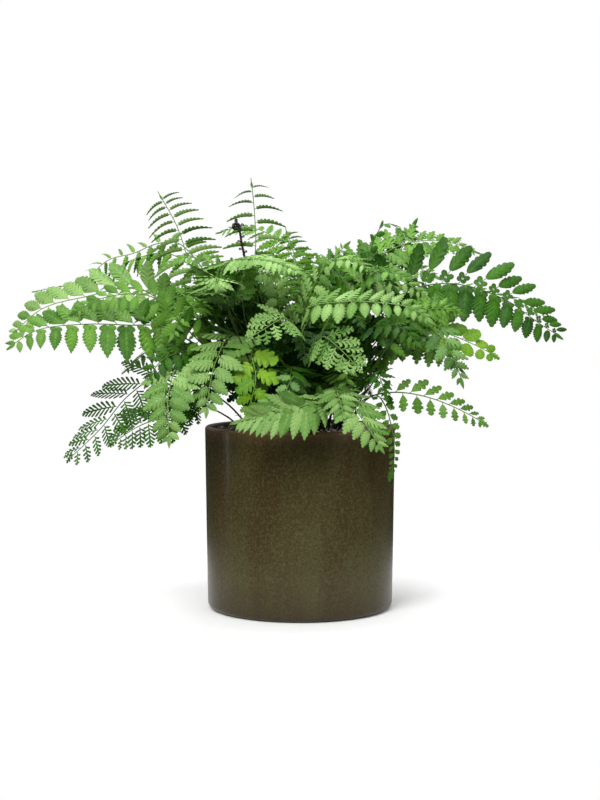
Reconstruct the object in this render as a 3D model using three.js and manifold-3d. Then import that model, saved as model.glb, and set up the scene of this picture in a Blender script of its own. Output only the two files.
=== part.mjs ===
// A potted mother fern: a glazed cylinder pot filled with soil, and a crown of arching fronds.
// Millimetres, +Z up. The origin is the centre of the pot's foot; the front of the plant looks to -Y.

import * as THREE from "three";
import { mergeVertices } from "three/addons/utils/BufferGeometryUtils.js";
import Module from "manifold-3d";

const wasm = await Module();
wasm.setup();

// Driving dimensions

const POT = {
  height: 192,
  rimRadius: 100,
  footRadius: 97.5,
  footFlat: 90,
  wall: 6.5,
  lip: 3.2,
  floor: 12,
  sides: 36,
};

const SOIL = {
  edgeHeight: 187,
  crownHeight: 189,
  crownRadius: 58,
  gap: 0.3,
  sides: 26,
};

const CROWN = {
  centre: [0, 4],
  spacing: 7.3,
  depth: 8,
  emerge: 16,
  holeGap: 0.35,
  choices: 6,
  spare: 12,
};

const STEM = { base: 1.3, tip: 0.5, thinning: 0.8 };
const BLADE = 0.7;
const TIP_LENGTH = 9;
const CURVE_STEPS = 16;
// A stem's upper side turns by at most 8 degrees from one point of its curve to the next.
const GENTLE_TURN = Math.cos(THREE.MathUtils.degToRad(8));
const GOLDEN_ANGLE = THREE.MathUtils.degToRad(137.508);
const DOWN = new THREE.Vector3(0, 0, -1);

// Room that one piece keeps from another, and that a leaflet keeps from its own frond.
const CLEAR = { stem: 0.7, blade: 0.5, own: 0.12, ownStart: 0.2 };
// How far outside its faces a leaflet is probed for folds.
const FOLD_PROBE = 0.05;

// Half outlines of a leaflet from its foot to its tip: share of the length, share of the half width.
const CUTS = {
  plain: [[0.5, 1]],
  full: [[0.32, 0.86], [0.7, 1]],
  toothed: [[0.32, 0.9], [0.41, 0.68], [0.7, 1]],
  lobed: [[0.22, 1], [0.32, 0.58], [0.66, 0.8]],
  lacy: [[0.2, 1], [0.31, 0.3], [0.5, 0.9], [0.62, 0.24]],
};

// Kinds of frond. pairs: leaflets on each side. reach: the longest leaflet. breadth: its width as a
// share of its length. last: length of the last leaflet as a share of the longest. bare: share of the
// stem below the first leaflet. sweep and lift, in degrees: how far a leaflet leans to the tip and up.
// gain: how much more the last one leans. upright: how much more one leans that stands up from its
// stem, and how much less one that hangs. twist: how far its face turns from the frond's face.
// droop: how far it hangs.
const KINDS = {
  comb: {
    cut: "lobed", pairs: 8, reach: 35, breadth: 0.2, last: 0.42, bare: 0.5,
    sweep: 20, gain: 0, upright: -12, lift: 4, twist: 30, droop: 0.6,
  },
  broad: {
    cut: "toothed", pairs: 10, reach: 34, breadth: 0.42, last: 0.2, bare: 0.36,
    sweep: 12, gain: 18, upright: 12, lift: 0, twist: 0, droop: 0.16,
  },
  round: {
    cut: "full", pairs: 6, reach: 18, breadth: 0.86, last: 0.24, bare: 0.5,
    sweep: 16, gain: 18, upright: 12, lift: 4, twist: 0, droop: 0.1,
  },
  rhomb: {
    cut: "full", pairs: 7, reach: 18, breadth: 0.6, last: 0.24, bare: 0.36,
    sweep: 24, gain: 22, upright: 12, lift: 2, twist: 0, droop: 0.1,
  },
  lacy: {
    cut: "lacy", pairs: 6, reach: 38, breadth: 0.34, last: 0.2, bare: 0.4,
    sweep: 20, gain: 22, upright: 12, lift: 0, twist: 0, droop: 0.14,
  },
  small: {
    cut: "full", pairs: 4, reach: 22, breadth: 0.6, last: 0.2, bare: 0.5,
    sweep: 18, gain: 22, upright: 12, lift: 0, twist: 0, droop: 0.14,
  },
  trail: {
    cut: "plain", pairs: 7, reach: 9, breadth: 0.7, last: 0.3, bare: 0.42,
    sweep: 24, gain: 22, upright: 12, lift: 0, twist: 0, droop: 0.1,
  },
  fill: {
    cut: "plain", pairs: 6, reach: 34, breadth: 0.38, last: 0.2, bare: 0.4,
    sweep: 16, gain: 22, upright: 12, lift: 0, twist: 0, droop: 0.2,
  },
};

// Leaflet length along the leafy part: the share at its foot, and where it is longest.
const TAPER = { first: 0.72, belly: 0.26, fall: 1.35 };

// Leaflets stand closer to the tip of a frond, by this power. From these shares of the leafy part on
// their edges are less cut, and then plain.
const CROWDING = 1.3;
const FULL_FROM = 0.5;
const PLAIN_FROM = 0.66;

// Ways in which a leaflet gives way to what is in front of it: more droop, more lift, size.
const POSES = [
  [0, 0, 1],
  [0.14, 0, 1],
  [-0.14, 8, 1],
  [0.28, -8, 0.94],
  [-0.1, 20, 0.92],
  [0.1, -22, 0.9],
  [0, 0, 0.76],
  [0.18, 14, 0.72],
  [0, -32, 0.72],
  [0, 0, 0.55],
];

// Ways in which a stem bows aside, in millimetres at its middle.
const SWAYS = [0, 4, -4, 8, -8, 12, -12, 17, -17, 23, -23];

const TONES = {
  light: "#86b873",
  mid: "#4f9a40",
  dark: "#2f7430",
  yellow: "#86c83c",
  grey: "#6fa377",
  young: "#3a3524",
};

// The fronds seen from the front. ring: distance of the root from the middle of the crown.
// face: the way that the upper side looks. route: points of the stem above the crown.
const SEEN = [
  {
    name: "comb_centre", kind: "comb", tone: "light", ring: 8,
    face: [0, -1, 0.15], breadth: 0.2, pairs: 6, reach: 32, bare: 0.66,
    route: [[-47, 15, 350], [-47, 22, 388], [-49, 24, 425], [-52, 20, 453]],
  },
  {
    name: "comb_left", kind: "comb", tone: "light", ring: 24,
    face: [-0.1, -1, 0.2], breadth: 0.26, pairs: 8, reach: 38, bare: 0.5,
    route: [[-103, 20, 324], [-119, 35, 365], [-132, 40, 403], [-152, 36, 440]],
  },
  {
    name: "left_main", kind: "broad", tone: "mid", ring: 34,
    face: [-0.2, -0.85, 0.5], pairs: 11, reach: 45, bare: 0.3, breadth: 0.48,
    route: [[-137, -60, 295], [-170, -85, 298], [-213, -105, 299], [-257, -120, 293], [-285, -125, 275]],
  },
  {
    name: "left_upper", kind: "broad", tone: "light", ring: 26,
    face: [-0.2, -0.9, 0.45], pairs: 9, reach: 36, breadth: 0.56, bare: 0.42,
    route: [[-140, -20, 320], [-169, -40, 336], [-215, -60, 327], [-259, -75, 314], [-290, -80, 286]],
  },
  {
    name: "right_main", kind: "broad", tone: "dark", ring: 30,
    face: [0.2, -0.95, 0.35], pairs: 12, reach: 43, breadth: 0.46, bare: 0.34,
    route: [
      [98, -20, 324], [128, -35, 338], [164, -45, 339], [210, -50, 323], [243, -50, 300], [268, -50, 284],
    ],
  },
  {
    name: "right_behind", kind: "fill", tone: "mid", ring: 32,
    face: [0.2, -0.5, 0.9], pairs: 6, reach: 30,
    route: [[136, 4, 329], [177, -2, 333], [223, -8, 325], [268, -8, 303]],
  },
  {
    name: "right_upper", kind: "broad", tone: "light", ring: 20,
    face: [0.1, -0.6, 0.8], breadth: 0.46, pairs: 9, reach: 35, bare: 0.4, cut: "full",
    route: [[79, 20, 364], [117, 30, 385], [158, 35, 386], [194, 38, 374]],
  },
  {
    name: "right_upright", kind: "small", tone: "mid", ring: 14,
    face: [0, -1, 0.3], pairs: 5, reach: 22, bare: 0.62,
    route: [[93, 34, 345], [112, 46, 385], [126, 46, 412]],
  },
  {
    name: "right_round", kind: "round", tone: "yellow", ring: 40,
    face: [0.2, -0.9, 0.4], pairs: 7, reach: 26,
    route: [[107, -40, 288], [142, -55, 291], [172, -62, 280], [201, -65, 265]],
  },
  {
    name: "right_grey", kind: "small", tone: "grey", ring: 42,
    face: [0.3, -0.95, 0.4], pairs: 5, reach: 30, bare: 0.45,
    route: [[114, -85, 301], [137, -105, 288], [151, -115, 264], [160, -118, 237]],
  },
  {
    name: "right_hang", kind: "broad", tone: "mid", ring: 44,
    face: [0.2, -0.75, 0.6], pairs: 6, reach: 32, bare: 0.42, cut: "full",
    route: [[86, -60, 275], [110, -78, 282], [139, -84, 272], [163, -84, 256]],
  },
  {
    name: "right_low", kind: "rhomb", tone: "mid", ring: 48,
    face: [0.2, -0.9, 0.45], pairs: 8, reach: 22, bare: 0.4,
    route: [[72, -70, 226], [98, -85, 231], [129, -95, 226], [159, -100, 214], [186, -100, 199]],
  },
  {
    name: "trailing", kind: "trail", tone: "mid", ring: 50,
    face: [0.4, -1, 0.2], reach: 10, pairs: 9,
    route: [[85, -68, 228], [97, -80, 216], [100, -84, 195], [97, -86, 168], [89, -86, 143]],
  },
  {
    name: "lacy_left_upper", kind: "lacy", tone: "dark", ring: 40,
    face: [-0.5, -0.8, 0.4], breadth: 0.4, pairs: 7, reach: 46, bare: 0.36,
    route: [[-140, -30, 246], [-174, -50, 227], [-203, -65, 192], [-235, -75, 161]],
  },
  {
    name: "lacy_left_lower", kind: "lacy", tone: "dark", ring: 48,
    face: [-0.3, -0.8, 0.5], breadth: 0.4, pairs: 5, reach: 38, bare: 0.42, cut: "lobed",
    route: [[-112, -50, 218], [-141, -68, 205], [-165, -78, 195], [-190, -84, 178]],
  },
  {
    name: "front_left_long", kind: "broad", tone: "light", ring: 46,
    face: [-0.35, -1, 0.35], breadth: 0.5, pairs: 7, reach: 36, cut: "full",
    route: [[-115, -92, 258], [-125, -125, 233], [-126, -140, 207], [-126, -145, 181]],
  },
  {
    name: "front_left_short", kind: "broad", tone: "light", ring: 42,
    face: [-0.2, -1, 0.4], breadth: 0.5, pairs: 6, reach: 38, cut: "full",
    route: [[-73, -60, 288], [-86, -112, 262], [-91, -135, 209]],
  },
  {
    name: "over_rim_left", kind: "broad", tone: "light", ring: 50,
    face: [-0.1, -0.9, 0.5], sweep: 44, pairs: 7, reach: 38, bare: 0.38, cut: "full",
    route: [[24, -106, 226], [0, -128, 219], [-34, -138, 212], [-67, -140, 204]],
  },
  {
    name: "over_rim_right", kind: "broad", tone: "light", ring: 50,
    face: [0.2, -0.8, 0.6], sweep: 26, pairs: 6, reach: 32, bare: 0.42, cut: "full",
    route: [[42, -104, 230], [54, -128, 216], [67, -142, 197], [81, -148, 176]],
  },
  {
    name: "yellow_front", kind: "small", tone: "yellow", ring: 36,
    face: [0, -1, 0.3], pairs: 5, reach: 30, bare: 0.42,
    route: [[-48, -105, 272], [-43, -118, 247], [-47, -120, 227], [-53, -118, 208]],
  },
  {
    name: "lacy_front", kind: "lacy", tone: "light", ring: 34,
    face: [0, -1, 0.45], pairs: 5, reach: 34, bare: 0.5,
    route: [[21, -110, 287], [39, -132, 275], [59, -146, 254]],
  },
  {
    name: "lacy_front_left", kind: "lacy", tone: "light", ring: 30,
    face: [0, -0.8, 0.6], pairs: 5, reach: 34, bare: 0.52, cut: "lobed",
    route: [[14, -96, 300], [-10, -120, 303], [-52, -134, 285]],
  },
  {
    name: "blue_round", kind: "small", tone: "grey", ring: 46,
    face: [-0.1, -1, 0.3], pairs: 5, reach: 18, bare: 0.36,
    route: [[-2, -112, 248], [-12, -126, 233], [-19, -130, 214]],
  },
  {
    name: "small_front", kind: "small", tone: "mid", ring: 40,
    face: [0.1, -1, 0.2], pairs: 5, reach: 20, cut: "plain", bare: 0.34,
    route: [[44, -92, 262], [46, -112, 248], [40, -120, 224]],
  },
  {
    name: "centre_bright", kind: "broad", tone: "light", ring: 28,
    face: [0, -0.75, 0.75], pairs: 8, reach: 26, bare: 0.42, cut: "full",
    route: [[5, -92, 312], [42, -120, 321], [77, -130, 320], [106, -135, 315], [130, -138, 300]],
  },
  {
    name: "umbrella_left", kind: "lacy", tone: "light", ring: 22,
    face: [0, -0.35, 1], droop: 0.24, pairs: 6, reach: 42, bare: 0.44, cut: "full",
    route: [[-70, -30, 312], [-80, -84, 338], [-84, -150, 328]],
  },
  {
    name: "umbrella_right", kind: "small", tone: "light", ring: 18,
    face: [0.1, -0.5, 1], droop: 0.24, pairs: 6, reach: 34, cut: "plain",
    route: [[-67, -6, 340], [-58, -46, 362], [-25, -86, 362], [4, -112, 348]],
  },
  {
    name: "back_arch", kind: "fill", tone: "mid", ring: 12,
    face: [0, -0.6, 1], pairs: 6, reach: 28, bare: 0.5,
    route: [[5, 36, 345], [-28, 58, 392], [-60, 74, 404], [-93, 82, 398]],
  },
  {
    name: "top_small", kind: "comb", tone: "mid", ring: 4,
    face: [0, -1, 0.3], pairs: 5, reach: 22, bare: 0.66, cut: "plain",
    route: [[0, 10, 340], [-7, 22, 375], [-16, 28, 402]],
  },
  {
    name: "top_tip", kind: "fill", tone: "mid", ring: 16,
    face: [0.3, -0.6, 0.7], pairs: 5, reach: 26,
    route: [[27, 40, 340], [36, 52, 368], [54, 62, 388]],
  },
  {
    name: "back_left_low", kind: "comb", tone: "mid", ring: 34,
    face: [0, -0.8, 0.6], droop: 0.8, breadth: 0.26, pairs: 6, reach: 27, bare: 0.5, cut: "plain",
    route: [[-132, 70, 386], [-158, 80, 386], [-184, 88, 376], [-212, 92, 369], [-233, 92, 351]],
  },
  {
    name: "far_left_thin", kind: "fill", tone: "mid", ring: 36,
    face: [0, -0.4, 1], pairs: 5, reach: 18, bare: 0.5,
    route: [[-142, 62, 324], [-189, 95, 338], [-236, 112, 343], [-267, 114, 340], [-302, 118, 334]],
  },
  {
    name: "top_left", kind: "fill", tone: "mid", ring: 18,
    face: [-0.2, -0.5, 1], pairs: 6, reach: 30,
    route: [[-66, 4, 330], [-92, -2, 362], [-120, -10, 368], [-146, -16, 358]],
  },
  {
    name: "mid_right", kind: "broad", tone: "mid", ring: 24,
    face: [0.1, -0.6, 0.8], pairs: 6, reach: 32, cut: "full", bare: 0.34,
    route: [[39, -34, 293], [58, -58, 338], [85, -78, 352], [112, -92, 342]],
  },
  {
    name: "mid_top", kind: "fill", tone: "light", ring: 10,
    face: [0.1, -0.5, 0.9], pairs: 6, reach: 32, bare: 0.34,
    route: [[8, -12, 324], [30, -28, 361], [54, -44, 364], [80, -60, 346]],
  },
  {
    name: "mid_left", kind: "broad", tone: "mid", ring: 32,
    face: [-0.3, -0.8, 0.6], pairs: 6, reach: 30, cut: "full", bare: 0.32,
    route: [[-67, -34, 305], [-92, -66, 316], [-114, -90, 306], [-130, -102, 282]],
  },
  {
    name: "right_inner", kind: "fill", tone: "dark", ring: 38,
    face: [0.2, -0.7, 0.7], pairs: 5, reach: 30, bare: 0.28,
    route: [[53, -55, 273], [74, -88, 297], [98, -108, 296], [119, -120, 276]],
  },
  {
    name: "left_inner", kind: "fill", tone: "dark", ring: 40,
    face: [-0.3, -0.8, 0.6], pairs: 5, reach: 30, bare: 0.28,
    route: [[-80, -48, 262], [-112, -80, 272], [-138, -98, 262], [-154, -104, 236]],
  },
  {
    name: "centre_low", kind: "fill", tone: "dark", ring: 38,
    face: [0, -0.8, 0.6], pairs: 6, reach: 26, bare: 0.26,
    route: [[-6, -66, 262], [-22, -98, 270], [-36, -112, 262], [-48, -116, 240]],
  },
  {
    name: "centre_right_low", kind: "fill", tone: "dark", ring: 44,
    face: [0.2, -0.8, 0.6], pairs: 6, reach: 26, bare: 0.26,
    route: [[34, -66, 238], [54, -94, 250], [72, -106, 244], [88, -108, 224]],
  },
];

// The fronds that the front hides: rings of arching fronds round the back, in three tiers.
const BACK = { count: 11, from: 30, to: 168, scatter: 7, pairs: 5, reach: 38, bare: 0.36 };
const TIERS = [
  { reach: 232, crest: [0.56, 306], tip: 242, ring: 46 },
  { reach: 205, crest: [0.58, 340], tip: 300, ring: 30 },
  { reach: 150, crest: [0.6, 366], tip: 350, ring: 16 },
];

// The short fronds that stand low round the front of the crown, in the shade of the others.
const LOW = { count: 5, from: 205, to: 338, scatter: 6, pairs: 4, reach: 26, bare: 0.3 };
const LOW_TIER = { reach: 92, crest: [0.74, 248], tip: 222, ring: 47 };

// The curled young fronds. coil: outer radius and turns. lean: the way that the coil looks.
// The innermost radius is COIL_END of the outer one.
const COIL_END = 0.42;
const YOUNG = [
  {
    name: "crozier_front", ring: 12, coil: [4, 1.25], lean: 200,
    route: [[-57, -14, 366], [-62.5, -18, 395]],
  },
  {
    name: "crozier_back", ring: 20, coil: [4, 1.2], lean: 60,
    route: [[26, 84, 300], [30, 92, 322]],
  },
];

// Small functions on numbers and vectors

const rad = THREE.MathUtils.degToRad;
const lerp = THREE.MathUtils.lerp;
const vec = ([x, y, z]) => new THREE.Vector3(x, y, z);
const square = (v, n) => v.clone().addScaledVector(n, -v.dot(n));

function chance(a, b) {
  const wave = Math.sin(a * 12.9898 + b * 78.233) * 43758.5453;
  return wave - Math.floor(wave);
}

// A closed triangle shell under construction

class Shell {
  points = [];
  faces = [];

  add(point) {
    return this.points.push(point) - 1;
  }

  fan(...ring) {
    for (let i = 2; i < ring.length; i++) this.faces.push([ring[0], ring[i - 1], ring[i]]);
  }

  geometry() {
    const geometry = new THREE.BufferGeometry().setFromPoints(this.points);
    return geometry.setIndex(this.faces.flat());
  }

  solid() {
    return solidOf(this.geometry());
  }
}

function solidOf(geometry) {
  const bare = geometry.clone();
  bare.deleteAttribute("normal");
  bare.deleteAttribute("uv");
  const merged = mergeVertices(bare, 1e-4);
  return new wasm.Manifold(
    new wasm.Mesh({
      numProp: 3,
      vertProperties: merged.attributes.position.array,
      triVerts: new Uint32Array(merged.index.array),
    }),
  );
}

function geometryOf(solid) {
  const mesh = solid.getMesh();
  const geometry = new THREE.BufferGeometry();
  geometry.setAttribute("position", new THREE.BufferAttribute(mesh.vertProperties, mesh.numProp));
  geometry.setIndex(new THREE.BufferAttribute(mesh.triVerts, 1));
  return geometry;
}

// Pot and soil

function arc(centreR, centreZ, radius, fromDeg, toDeg, steps) {
  return Array.from({ length: steps + 1 }, (_, i) => {
    const a = rad(lerp(fromDeg, toDeg, i / steps));
    return new THREE.Vector2(centreR + radius * Math.cos(a), centreZ + radius * Math.sin(a));
  });
}

function potGeometry() {
  const round = POT.footRadius - POT.footFlat;
  const inner = POT.rimRadius - POT.wall;
  const profile = [
    new THREE.Vector2(0, 0),
    ...arc(POT.footFlat, round, round, -90, 0, 3),
    ...arc(POT.rimRadius - POT.lip, POT.height - POT.lip, POT.lip, 0, 90, 2),
    new THREE.Vector2(inner, POT.height - 1.2),
    new THREE.Vector2(inner - 2, POT.floor + 8),
    new THREE.Vector2(inner - 10, POT.floor),
    new THREE.Vector2(0, POT.floor),
  ];
  return new THREE.LatheGeometry(profile, POT.sides).rotateX(Math.PI / 2);
}

function soilGeometry() {
  const wallFoot = POT.rimRadius - POT.wall - 2 - SOIL.gap;
  const wallTop = POT.rimRadius - POT.wall - SOIL.gap - 0.4;
  const profile = [
    new THREE.Vector2(0, POT.floor + SOIL.gap),
    new THREE.Vector2(wallFoot - 9, POT.floor + SOIL.gap),
    new THREE.Vector2(wallFoot - 1, POT.floor + 9),
    new THREE.Vector2(wallTop, SOIL.edgeHeight),
    new THREE.Vector2(SOIL.crownRadius, SOIL.crownHeight),
    new THREE.Vector2(0, SOIL.crownHeight),
  ];
  return new THREE.LatheGeometry(profile, SOIL.sides).rotateX(Math.PI / 2);
}

// Routes: a smooth curve through a few points, walked by its length

function walker(knots, sway, face) {
  const steps = CURVE_STEPS * (knots.length - 1);
  const points = new THREE.CatmullRomCurve3(knots).getPoints(steps);
  const span = knots.at(-1).clone().sub(knots[0]);
  const aside = new THREE.Vector3(-span.y, span.x, 0).normalize();
  points.forEach((p, i) => p.addScaledVector(aside, sway * Math.sin((Math.PI * i) / steps) ** 2));
  const lengths = [0];
  points.slice(1).forEach((p, i) => lengths.push(lengths[i] + p.distanceTo(points[i])));
  const total = lengths.at(-1);
  const between = (list, s) => {
    let i = 1;
    while (i < points.length - 1 && lengths[i] < s) i++;
    const share = (s - lengths[i - 1]) / (lengths[i] - lengths[i - 1]);
    return list[i - 1].clone().lerp(list[i], share);
  };
  const at = (s) => between(points, s);
  const along = (s) => at(Math.min(s + 2, total)).sub(at(Math.max(s - 2, 0))).normalize();
  // From the tip down, the upper side keeps to the face for as long as it turns gently.
  const ups = [];
  for (let i = points.length - 1; i >= 0; i--) {
    const way = along(lengths[i]);
    const wanted = square(face, way).normalize();
    const carried = square(ups[i + 1] ?? wanted, way).normalize();
    ups[i] = wanted.dot(carried) > GENTLE_TURN ? wanted : carried;
  }
  // A frame on the stem: its point, the way along it, its upper side and its right side.
  const frame = (s) => {
    const way = along(s);
    const up = square(between(ups, s), way).normalize();
    return { point: at(s), along: way, up, right: way.clone().cross(up), s };
  };
  return { total, at, frame };
}

function stemWidth(frond, s) {
  const share = Math.min(1, s / frond.walk.total) ** STEM.thinning;
  return lerp(STEM.base, STEM.tip, share);
}

// The three corners of the stem's section: upper left, upper right, keel.
function corners(frame, width, grow = 0) {
  const w = width + grow * 2;
  const left = frame.point.clone().addScaledVector(frame.right, -w).addScaledVector(frame.up, w * 0.7);
  const right = frame.point.clone().addScaledVector(frame.right, w).addScaledVector(frame.up, w * 0.7);
  const keel = frame.point.clone().addScaledVector(frame.up, -w * 0.95);
  return [left, right, keel];
}

function stemPiece(frond, from, to, grow) {
  const shell = new Shell();
  const [a, b, c] = corners(from, stemWidth(frond, from.s), grow).map((p) => shell.add(p));
  const [d, e, f] = corners(to, stemWidth(frond, to.s), grow).map((p) => shell.add(p));
  shell.fan(a, c, b);
  shell.fan(d, e, f);
  shell.fan(a, b, e, d);
  shell.fan(b, c, f, e);
  shell.fan(c, a, d, f);
  return shell.solid();
}

// Leaflets

function leafLength(frond, share) {
  const { first, belly, fall } = TAPER;
  if (share < belly) return frond.reach * lerp(first, 1, Math.sin((share / belly) * (Math.PI / 2)));
  return frond.reach * lerp(1, frond.last, ((share - belly) / (1 - belly)) ** fall);
}

// Where a leaflet's middle line and its edges run, as a function of the shares along and across.
function leafSheet(frond, leaf, pose) {
  const [moreDroop, moreLift, size] = pose;
  const { frame, side } = leaf;
  const sweep = rad(leaf.sweep);
  const lift = rad(leaf.lift + moreLift);
  const axis = frame.right.clone().multiplyScalar(side * Math.cos(sweep) * Math.cos(lift));
  axis.addScaledVector(frame.along, Math.sin(sweep) * Math.cos(lift));
  axis.addScaledVector(frame.up, Math.sin(lift));
  const across = square(frame.along, axis).normalize().applyAxisAngle(axis, rad(frond.twist) * side);
  const hang = square(DOWN, axis);
  const droop = leaf.droop + moreDroop;
  const length = leaf.length * size;
  const half = leaf.half * size;
  const foot = frame.point.clone().addScaledVector(frame.right, side * stemWidth(frond, frame.s));
  return (u, v, face, grow = 0) => {
    const way = axis.clone().addScaledVector(hang, 2 * droop * u).normalize();
    const over = square(across, way).normalize();
    const normal = way.clone().cross(over).multiplyScalar(side);
    return foot
      .clone()
      .addScaledVector(axis, (length + grow) * u)
      .addScaledVector(hang, droop * length * u * u)
      .addScaledVector(over, v * half + Math.sign(v) * grow)
      .addScaledVector(normal, face * (BLADE / 2 + grow));
  };
}

// Adds a leaflet to a shell, from two base edges: the upper one and the lower one.
function addLeaf(shell, sheet, leaf, upper, lower, grow = 0) {
  const pair = (u, v) => [shell.add(sheet(u, v, 1, grow)), shell.add(sheet(u, v, -1, grow))];
  const first = [[upper[0], lower[0]]];
  const second = [[upper[1], lower[1]]];
  for (const [u, v] of CUTS[leaf.cut]) {
    first.push(pair(u, -v * leaf.side));
    second.push(pair(u, v * leaf.side));
  }
  const tip = pair(1, 0);
  for (let i = 1; i < first.length; i++) {
    const ring = [first[i - 1], first[i], second[i], second[i - 1]];
    shell.fan(...ring.map((p) => p[0]));
    shell.faces.push([ring[0][1], ring[2][1], ring[1][1]], [ring[0][1], ring[3][1], ring[2][1]]);
  }
  shell.fan(first.at(-1)[0], tip[0], second.at(-1)[0]);
  shell.fan(first.at(-1)[1], second.at(-1)[1], tip[1]);
  const rim = [...first, tip, ...second.reverse()];
  for (let i = 1; i < rim.length; i++) shell.fan(rim[i - 1][0], rim[i - 1][1], rim[i][1], rim[i][0]);
}

// A leaflet alone, from a share of its length outwards, as a closed solid.
function leafPiece(sheet, leaf, start, grow) {
  const shell = new Shell();
  const corner = (v) => [shell.add(sheet(start, v, 1, grow)), shell.add(sheet(start, v, -1, grow))];
  const [a, b] = [corner(-0.4 * leaf.side), corner(0.4 * leaf.side)];
  shell.fan(a[0], b[0], b[1], a[1]);
  addLeaf(shell, sheet, leaf, [a[0], b[0]], [a[1], b[1]], grow);
  return shell.solid();
}

// A whole leaflet alone, with the stretch of stem that it grows on.
function wholeLeafShell(frond, sheet, leaf, grow) {
  const shell = new Shell();
  const ends = [frond.frames[leaf.place], frond.frames[leaf.place + 1]];
  if (leaf.side < 0) ends.reverse();
  const [a, b] = ends.map((frame) => {
    const width = stemWidth(frond, frame.s);
    return corners(frame, width, grow / 2).map((p) => shell.add(p));
  });
  const edge = leaf.side < 0 ? 0 : 1;
  shell.fan(a[edge], b[edge], b[2], a[2]);
  addLeaf(shell, sheet, leaf, [a[edge], b[edge]], [a[2], b[2]], grow);
  return shell;
}

// How many times a closed surface of triangles winds round a point.
function windingAt(triangles, point) {
  let angle = 0;
  for (const corners of triangles) {
    const [a, b, c] = corners.map((p) => p.clone().sub(point));
    const [x, y, z] = [a, b, c].map((v) => v.length());
    const flat = x * y * z + a.dot(b) * z + b.dot(c) * x + c.dot(a) * y;
    angle += 2 * Math.atan2(a.dot(b.clone().cross(c)), flat);
  }
  return angle / (4 * Math.PI);
}

// Whether a leaflet folds through itself: then some points just outside its faces aren't outside.
function folds(shell) {
  const triangles = shell.faces.map((face) => face.map((i) => shell.points[i]));
  return triangles.some((corners) => {
    const [a, b, c] = corners;
    const normal = b.clone().sub(a).cross(c.clone().sub(a)).normalize();
    const middle = a.clone().add(b).add(c).divideScalar(3);
    const probes = [middle, ...corners.map((p) => p.clone().lerp(middle, 0.4))];
    return probes.some((p) => Math.abs(windingAt(triangles, p.addScaledVector(normal, FOLD_PROBE))) > 0.5);
  });
}

// Room: what stands already, and whether a new piece keeps clear of it

const standing = [];

function boxOf(solid) {
  const { min, max } = solid.boundingBox();
  return new THREE.Box3(vec(min), vec(max));
}

function stand(solid, owner, place = -1, blade = false) {
  standing.push({ solid, owner, place, blade, box: boxOf(solid) });
}

function meets(solid, ignore) {
  const box = boxOf(solid);
  return standing.some((other) => {
    if (ignore(other) || !box.intersectsBox(other.box)) return false;
    const common = solid.intersect(other.solid);
    const hit = !common.isEmpty();
    common.delete();
    return hit;
  });
}

// Roots on a sunflower pattern: each frond takes one that is free, near where it wants to stand.

function crownSlots(count) {
  return Array.from({ length: count }, (_, i) => {
    const radius = CROWN.spacing * Math.sqrt(i + 0.5);
    const angle = i * GOLDEN_ANGLE;
    return [CROWN.centre[0] + radius * Math.cos(angle), CROWN.centre[1] + radius * Math.sin(angle)];
  });
}

// The free roots nearest to where a frond wants to stand, the nearest first.
function rootsFor(slots, tip, ring) {
  const angle = Math.atan2(tip.y - CROWN.centre[1], tip.x - CROWN.centre[0]);
  const x = CROWN.centre[0] + ring * Math.cos(angle);
  const y = CROWN.centre[1] + ring * Math.sin(angle);
  const away = ([a, b]) => Math.hypot(a - x, b - y);
  return [...slots].sort((p, q) => away(p) - away(q)).slice(0, CROWN.choices);
}

function shoulder(root, first) {
  const reach = first.clone().sub(root);
  return root.clone().add(new THREE.Vector3(reach.x * 0.36, reach.y * 0.36, reach.z * 0.58));
}

// Stations along a frond: the bare stem, then one stretch for each leaflet, left and right in turn.
function stationsOf(frond) {
  const { total } = frond.walk;
  const bare = frond.bare * total;
  const steps = Math.max(3, Math.round(bare / 34));
  const stations = [0];
  for (let i = 0; i < steps; i++) stations.push(lerp(CROWN.emerge, bare, i / (steps - 1)));
  const leafy = total - TIP_LENGTH - bare;
  const count = frond.pairs * 2;
  for (let i = 1; i <= count; i++) stations.push(bare + leafy * (1 - (1 - i / count) ** CROWDING));
  return { stations, firstLeaf: steps };
}

function coilStations(frond) {
  const { total } = frond.walk;
  const straight = total - frond.coilLength;
  const stations = [0];
  for (let i = 0; i < 5; i++) stations.push(lerp(CROWN.emerge, straight, i / 4));
  const turns = 16;
  for (let i = 1; i <= turns; i++) stations.push(lerp(straight, total - 2.5, i / turns));
  return { stations, firstLeaf: stations.length };
}

// The leaflets get simpler as they get smaller to the tip.
function cutAt(frond, share) {
  if (share > PLAIN_FROM) return "plain";
  return share > FULL_FROM && frond.cut !== "plain" ? "full" : frond.cut;
}

function leavesOf(frond, index) {
  const leaves = [];
  const count = frond.pairs * 2;
  for (let i = 0; i < count; i++) {
    const share = i / count;
    const from = frond.frames[frond.firstLeaf + i];
    const to = frond.frames[frond.firstLeaf + i + 1];
    const length = leafLength(frond, share) * lerp(0.94, 1.06, chance(index, i));
    const side = i % 2 ? 1 : -1;
    const frame = frond.walk.frame((from.s + to.s) / 2);
    const lean = frond.gain * share + frond.upright * side * frame.right.z;
    leaves.push({
      place: frond.firstLeaf + i,
      side,
      frame,
      length,
      half: (length * frond.breadth) / 2,
      sweep: frond.sweep + lean + lerp(-4, 4, chance(index, i + 50)),
      lift: frond.lift + lerp(-6, 6, chance(index, i + 100)),
      droop: frond.droop + lerp(-0.04, 0.04, chance(index, i + 150)),
      cut: cutAt(frond, share),
    });
  }
  return leaves;
}

// Planning: every stem first, then each frond's leaflets in the room that is left

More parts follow.
